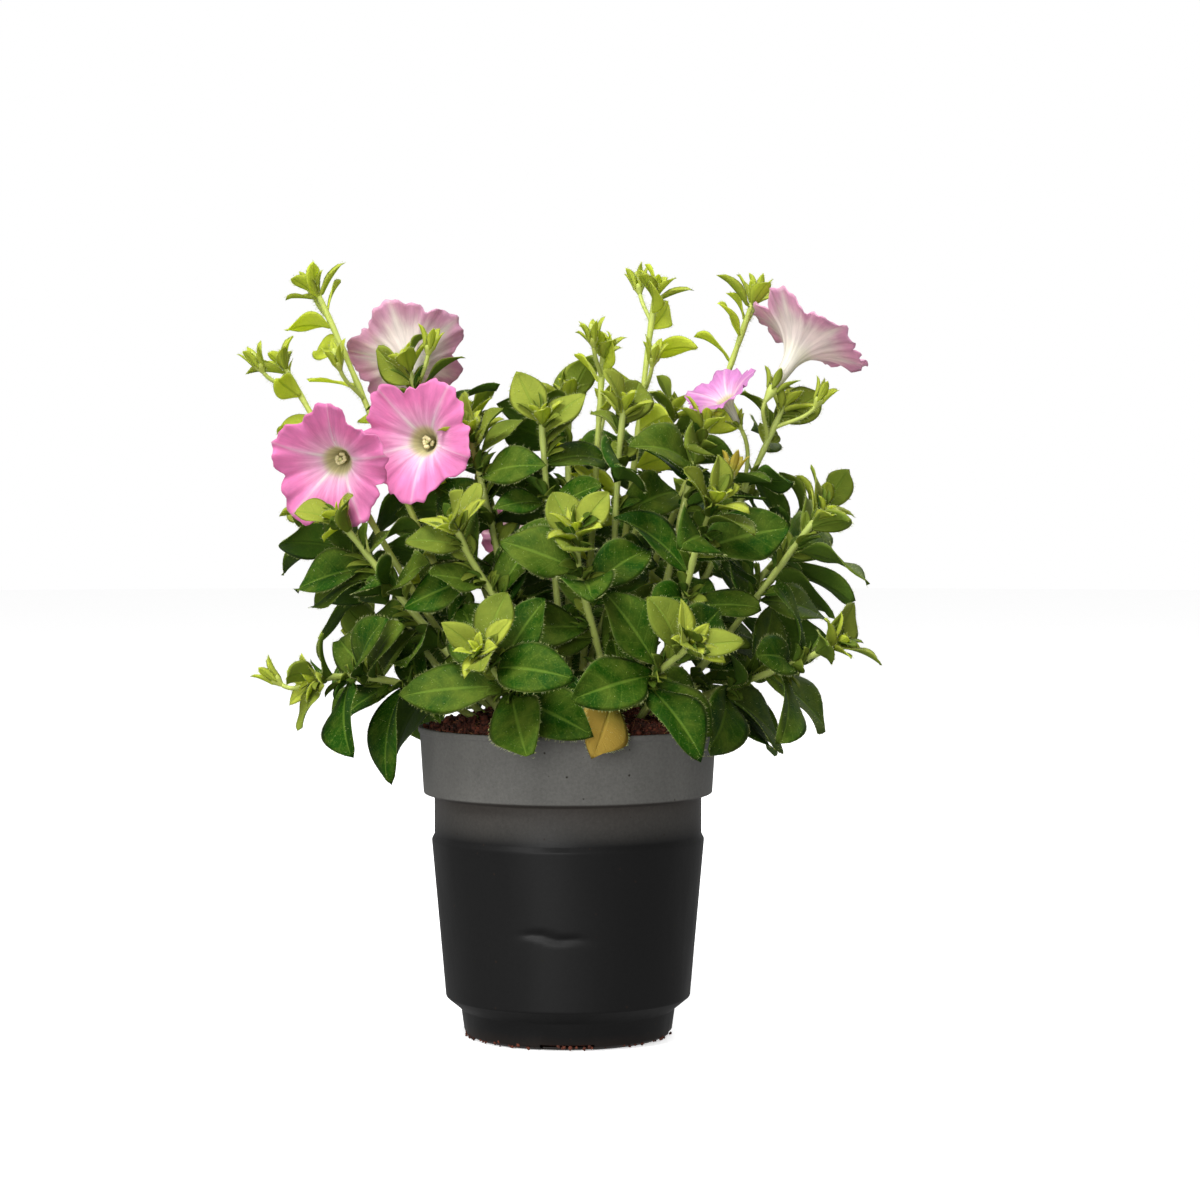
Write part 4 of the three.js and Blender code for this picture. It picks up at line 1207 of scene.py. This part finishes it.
def cut_notches(made):
    """Opens the drain notches: takes the faces out of both skins, then bridges the two holes."""
    half = math.pi / POT_COLUMNS * NOTCH_COLUMNS
    for k in range(NOTCHES):
        middle = k * 2 * math.pi / NOTCHES
        doomed = []
        for face in made.faces:
            centre = face.calc_center_median()
            turn = math.atan2(centre.y, centre.x) - middle
            within = abs((turn + math.pi) % (2 * math.pi) - math.pi) < half
            if within and centre.z < NOTCH_HEIGHT and math.hypot(centre.x, centre.y) > FLOOR_EDGE:
                doomed.append(face)
        bmesh.ops.delete(made, geom=doomed, context="FACES")
        rims = [edge for edge in made.edges if edge.is_boundary]
        bmesh.ops.bridge_loops(made, edges=rims)


def make_pot(material):
    sizes = settings("petunia_pot")
    made = spun(pot_outside() + pot_inside(), POT_COLUMNS, "Z")
    cut_notches(made)
    edges = [edge for edge in made.edges if edge.calc_face_angle(0) > 0.3]
    bmesh.ops.bevel(made, geom=edges, offset=sizes.corner / MM, offset_type="OFFSET", segments=2,
                    affect="EDGES", profile=0.5, material=-1, clamp_overlap=True)
    for corner in made.verts:
        place = corner.co
        if place.y < 0 and STEP_TOP + 2 < place.z < SHOULDER_HEIGHT - 2:
            middle = DENT_HEIGHT - 0.12 * place.x + 0.8 * math.sin(place.x * 0.45)
            across = math.exp(-((place.x - DENT_SIDE) / DENT_HALF_WIDTH) ** 4)
            upward = math.exp(-((place.z - middle) / DENT_HALF_HEIGHT) ** 2)
            place.y += sizes.dent / MM * across * upward
    bmesh.ops.recalc_face_normals(made, faces=made.faces[:])
    bmesh.ops.scale(made, vec=(MM, MM, MM), verts=made.verts[:])
    mesh = mesh_from(made, "pot_shell")
    mesh.shade_smooth()
    return make_piece(mesh, "pot_shell", "pot", [material])


def peat_top(x, y):
    """Height of the crumbly surface: the mound, and rough lumps of a few sizes on it."""
    lumps = sum(noise.noise(Vector((x, y, 3 * k)) / grain) * grain * 0.3
                for k, grain in enumerate((7, 3, 1.3)))
    edge = min(1, max(0, (PEAT_RADIUS - math.hypot(x, y)) / 3))
    return float(soil_height(x, y)) + lumps * edge


def mound():
    """The peat's body: it fills the pot, and its top is crumbly."""
    gap = WALL + 0.35
    side = [(0, gap), (37.6, gap), (39.4, 3), (FOOT_RADIUS - gap, FOOT_HEIGHT + gap),
            (BODY_RADIUS - gap, STEP_TOP + gap), (SHOULDER_RADIUS - gap, SHOULDER_HEIGHT - 0.5),
            (NECK_RADIUS - gap, SHOULDER_HEIGHT + 2.6), (NECK_RADIUS - gap, BAND_BOTTOM + 1.2),
            (BAND_BOTTOM_RADIUS - gap, BAND_BOTTOM + 2.4), (PEAT_RADIUS, SOIL_EDGE)]
    rings = [(radius, POT_HEIGHT) for radius in np.linspace(PEAT_RADIUS - 1.2, 0, 46)]
    made = spun(side + rings, 96, "Z")
    for corner in made.verts:
        if corner.co.z > SOIL_EDGE - 0.1:
            corner.co.z = peat_top(corner.co.x, corner.co.y)
    return made


def make_peat(forms, materials):
    sizes = settings("petunia_pot")
    draws = np.random.default_rng(12)
    ground, crumb, coir = range(3)
    growth = Growth()
    body = Form(mound())
    growth.add(body, body.corners, ground)
    for _ in range(sizes.crumbs):
        radius = PEAT_RADIUS * math.sqrt(draws.uniform(0.05, 1.0))
        turn = draws.uniform(0, 2 * math.pi)
        x, y = radius * math.cos(turn), radius * math.sin(turn)
        size = sizes.crumb / MM * draws.lognormal(-0.25, 0.45)
        rough = forms.crumb.corners * draws.uniform(0.65, 1.15, (len(forms.crumb.corners), 1))
        turned = np.array(Euler(draws.uniform(0, 2 * math.pi, 3)).to_matrix())
        corners = (rough * (size, size * 0.8, size * 0.6)) @ turned
        growth.add(forms.crumb, corners + (x, y, peat_top(x, y) + size * 0.3), crumb)
    for turn in draws.uniform(0, 2 * math.pi, FOOT_CRUMBS):
        size = draws.uniform(0.35, 0.95)
        rough = forms.crumb.corners * draws.uniform(0.65, 1.15, (len(forms.crumb.corners), 1)) * size
        radius = FOOT_RADIUS - 1.9 + draws.uniform(-0.5, 0.4)
        place = (radius * math.cos(turn), radius * math.sin(turn), size * draws.uniform(1, 2.6))
        growth.add(forms.crumb, rough + place, crumb)
    for _ in range(sizes.fibres):
        radius = (PEAT_RADIUS - 4) * math.sqrt(draws.uniform(0.05, 1.0))
        turn, heading = draws.uniform(0, 2 * math.pi, 2)
        x, y = radius * math.cos(turn), radius * math.sin(turn)
        way = np.array([math.cos(heading), math.sin(heading), draws.uniform(-0.1, 0.5)])
        start = np.array([x, y, peat_top(x, y) + 0.3])
        end = start + way * draws.uniform(2.5, 7)
        end[2] = peat_top(end[0], end[1]) + draws.uniform(0.3, 1.6)
        curve = Curve(start, unit(way + draws.uniform(-0.5, 0.5, 3)), end, unit(way))
        grow_rod(growth, forms.fibre, curve, (0.18, 0.14), (0, 0, 0), coir)
    return growth.piece("peat", "peat", "soil", materials)


# Stage, in metres

FLOOR_RADIUS = 6
LAMP_SIZE = 0.9
LAMP_AIM = Vector((0, 0, 0.2))
LAMPS = {
    "above": ((-0.45, -0.8, 1.6), "key"),
    "behind": ((0.7, 1.2, 1.3), "rear"),
    "front": ((-0.5, -1.7, 0.3), "fill"),
}
SENSOR_WIDTH = 36


def add_lamp(name, place, power):
    lamp = bpy.data.lights.new(name, "AREA")
    lamp.shape = "DISK"
    lamp.size = LAMP_SIZE
    lamp.energy = power
    holder = bpy.data.objects.new(name, lamp)
    bpy.context.scene.collection.objects.link(holder)
    holder.location = place
    holder.rotation_euler = (LAMP_AIM - Vector(place)).to_track_quat("-Z", "Y").to_euler()


def add_camera():
    s = settings("petunia_studio")
    camera = bpy.data.cameras.new("photo_camera")
    camera.lens = s.lens
    camera.sensor_width = SENSOR_WIDTH
    holder = bpy.data.objects.new("photo_camera", camera)
    bpy.context.scene.collection.objects.link(holder)
    holder.location = (s.offset, -s.distance, s.height)
    holder.rotation_euler = (math.pi / 2 - s.pitch, 0, 0)
    bpy.context.scene.camera = holder


def add_set_piece(name, made, material, hidden_from):
    """A piece of the set, which some kinds of light ray pass by."""
    piece = bpy.data.objects.new(name, mesh_from(made, name))
    piece.data.materials.append(material)
    bpy.context.scene.collection.objects.link(piece)
    for ray in hidden_from:
        setattr(piece, "visible_" + ray, False)
    return piece


def add_floor():
    """A plain floor that throws no light up at the pot."""
    made = bmesh.new()
    bmesh.ops.create_circle(made, cap_ends=True, segments=96, radius=FLOOR_RADIUS)
    floor = add_set_piece("studio_floor", made, floor_material(), ("diffuse", "glossy"))


def add_backdrop():
    """A bright dome round the set. It is seen, and casts neither light nor shadow."""
    made = bmesh.new()
    bmesh.ops.create_uvsphere(made, u_segments=48, v_segments=24, radius=FLOOR_RADIUS)
    material, tree, _ = new_material("bright_backdrop")
    glow = add_node(tree, "Emission", {"Color": (1, 1, 1), "Strength": 1.0})
    add_node(tree, "OutputMaterial", {"Surface": glow})
    dome = add_set_piece("studio_dome", made, material,
                         ("diffuse", "glossy", "transmission", "volume_scatter", "shadow"))


def add_daylight():
    s = settings("petunia_studio")
    world = bpy.data.worlds.new("studio_daylight")
    world.use_nodes = True
    world.node_tree.nodes.clear()
    sky = add_node(world.node_tree, "Background", {"Color": (1, 1, 1), "Strength": s.daylight})
    add_node(world.node_tree, "OutputWorld", {"Surface": sky})
    bpy.context.scene.world = world


# Operators

def plant_forms():
    return SimpleNamespace(
        leaf=ball(20, 16), leaflet=ball(8, 8), stem=ball(9, 44), stalk=ball(8, 12), bead=ball(8, 6),
        crumb=ball(6, 4), fibre=ball(3, 7), hairs=spikes(32))


class PETUNIA_OT_grow_stems(bpy.types.Operator):
    """Grow every leafy stem with its leaves, stalks, buds, calyces and hairs"""
    bl_idname = "petunia.grow_stems"
    bl_label = "Grow leafy stems"
    bl_options = {"REGISTER", "UNDO"}

    def execute(self, context):
        materials = [leaf_material(), stem_material(), hair_material()]
        forms = plant_forms()
        for stem in lay_plant():
            grow_stem(stem, forms, settings("petunia_foliage"), materials)
        return {"FINISHED"}


class PETUNIA_OT_open_blooms(bpy.types.Operator):
    """Open every bloom: its ruffled corolla, and the anthers and style in its throat"""
    bl_idname = "petunia.open_blooms"
    bl_label = "Open blooms"
    bl_options = {"REGISTER", "UNDO"}

    def execute(self, context):
        s = settings("petunia_bloom")
        tints = {
            "pink": petal_material("pink_petal", s.rim, s.back),
            "mauve": petal_material("mauve_petal", s.mauve, s.mauve),
            "lilac": petal_material("lilac_petal", s.lilac, s.lilac),
        }
        inner = [petal_material("filament", s.throat, s.throat),
                 pollen_material("pollen", s.anther), pollen_material("stigma", s.stigma)]
        forms = plant_forms()
        for stem in lay_plant():
            for flower in stem.flowers:
                tint = tints[BLOOM_TINTS[flower.index]]
                make_corolla(flower, [tint])
                make_anthers(flower, forms, inner)
        return {"FINISHED"}


class PETUNIA_OT_mould_pot(bpy.types.Operator):
    """Mould the nursery pot with its rim band, stepped foot, drain notches and dent"""
    bl_idname = "petunia.mould_pot"
    bl_label = "Mould pot"
    bl_options = {"REGISTER", "UNDO"}

    def execute(self, context):
        make_pot(pot_material())
        return {"FINISHED"}


class PETUNIA_OT_fill_peat(bpy.types.Operator):
    """Fill the pot with peat, crumbs and coir fibres"""
    bl_idname = "petunia.fill_peat"
    bl_label = "Fill peat"
    bl_options = {"REGISTER", "UNDO"}

    def execute(self, context):
        s = settings("petunia_pot")
        make_peat(plant_forms(), [
            peat_material("moist_peat", s.peat_dark, s.peat_warm),
            peat_material("peat_crumb", s.peat_dark, s.peat_warm),
            peat_material("coir_fibre", s.peat_warm, s.coir)])
        return {"FINISHED"}


class PETUNIA_OT_set_stage(bpy.types.Operator):
    """Set the floor, the soft lamps and the camera"""
    bl_idname = "petunia.set_stage"
    bl_label = "Set stage"
    bl_options = {"REGISTER", "UNDO"}

    def execute(self, context):
        s = settings("petunia_studio")
        add_floor()
        add_backdrop()
        add_daylight()
        for name, (place, power) in LAMPS.items():
            add_lamp("softbox_" + name, place, getattr(s, power))
        add_camera()
        context.scene.view_settings.view_transform = "Standard"
        return {"FINISHED"}


OPERATORS = (PETUNIA_OT_mould_pot, PETUNIA_OT_fill_peat, PETUNIA_OT_grow_stems,
             PETUNIA_OT_open_blooms, PETUNIA_OT_set_stage)
SETTINGS = {
    "petunia_foliage": PetuniaFoliageSettings,
    "petunia_bloom": PetuniaBloomSettings,
    "petunia_pot": PetuniaPotSettings,
    "petunia_studio": PetuniaStudioSettings,
}


class PETUNIA_PT_workshop(bpy.types.Panel):
    """Every step of the potted petunia, with its settings"""
    bl_idname = "PETUNIA_PT_workshop"
    bl_label = "Potted petunia"
    bl_space_type = "VIEW_3D"
    bl_region_type = "UI"
    bl_category = "Petunia"

    def draw(self, context):
        for operator in OPERATORS:
            self.layout.operator(operator.bl_idname)
        for name, group in SETTINGS.items():
            box = self.layout.box()
            box.label(text=group.__doc__)
            for label in group.__annotations__:
                box.prop(getattr(context.scene, name), label)


def register():
    for group in SETTINGS.values():
        bpy.utils.register_class(group)
    for name, group in SETTINGS.items():
        setattr(bpy.types.Scene, name, bpy.props.PointerProperty(type=group))
    for kind in (*OPERATORS, PETUNIA_PT_workshop):
        bpy.utils.register_class(kind)


def unregister():
    for kind in (PETUNIA_PT_workshop, *reversed(OPERATORS)):
        bpy.utils.unregister_class(kind)
    for name, group in SETTINGS.items():
        delattr(bpy.types.Scene, name)
        bpy.utils.unregister_class(group)


def main():
    register()
    bpy.ops.petunia.mould_pot()
    bpy.ops.petunia.fill_peat()
    bpy.ops.petunia.grow_stems()
    bpy.ops.petunia.open_blooms()
    bpy.ops.petunia.set_stage()


if __name__ == "__main__":
    main()
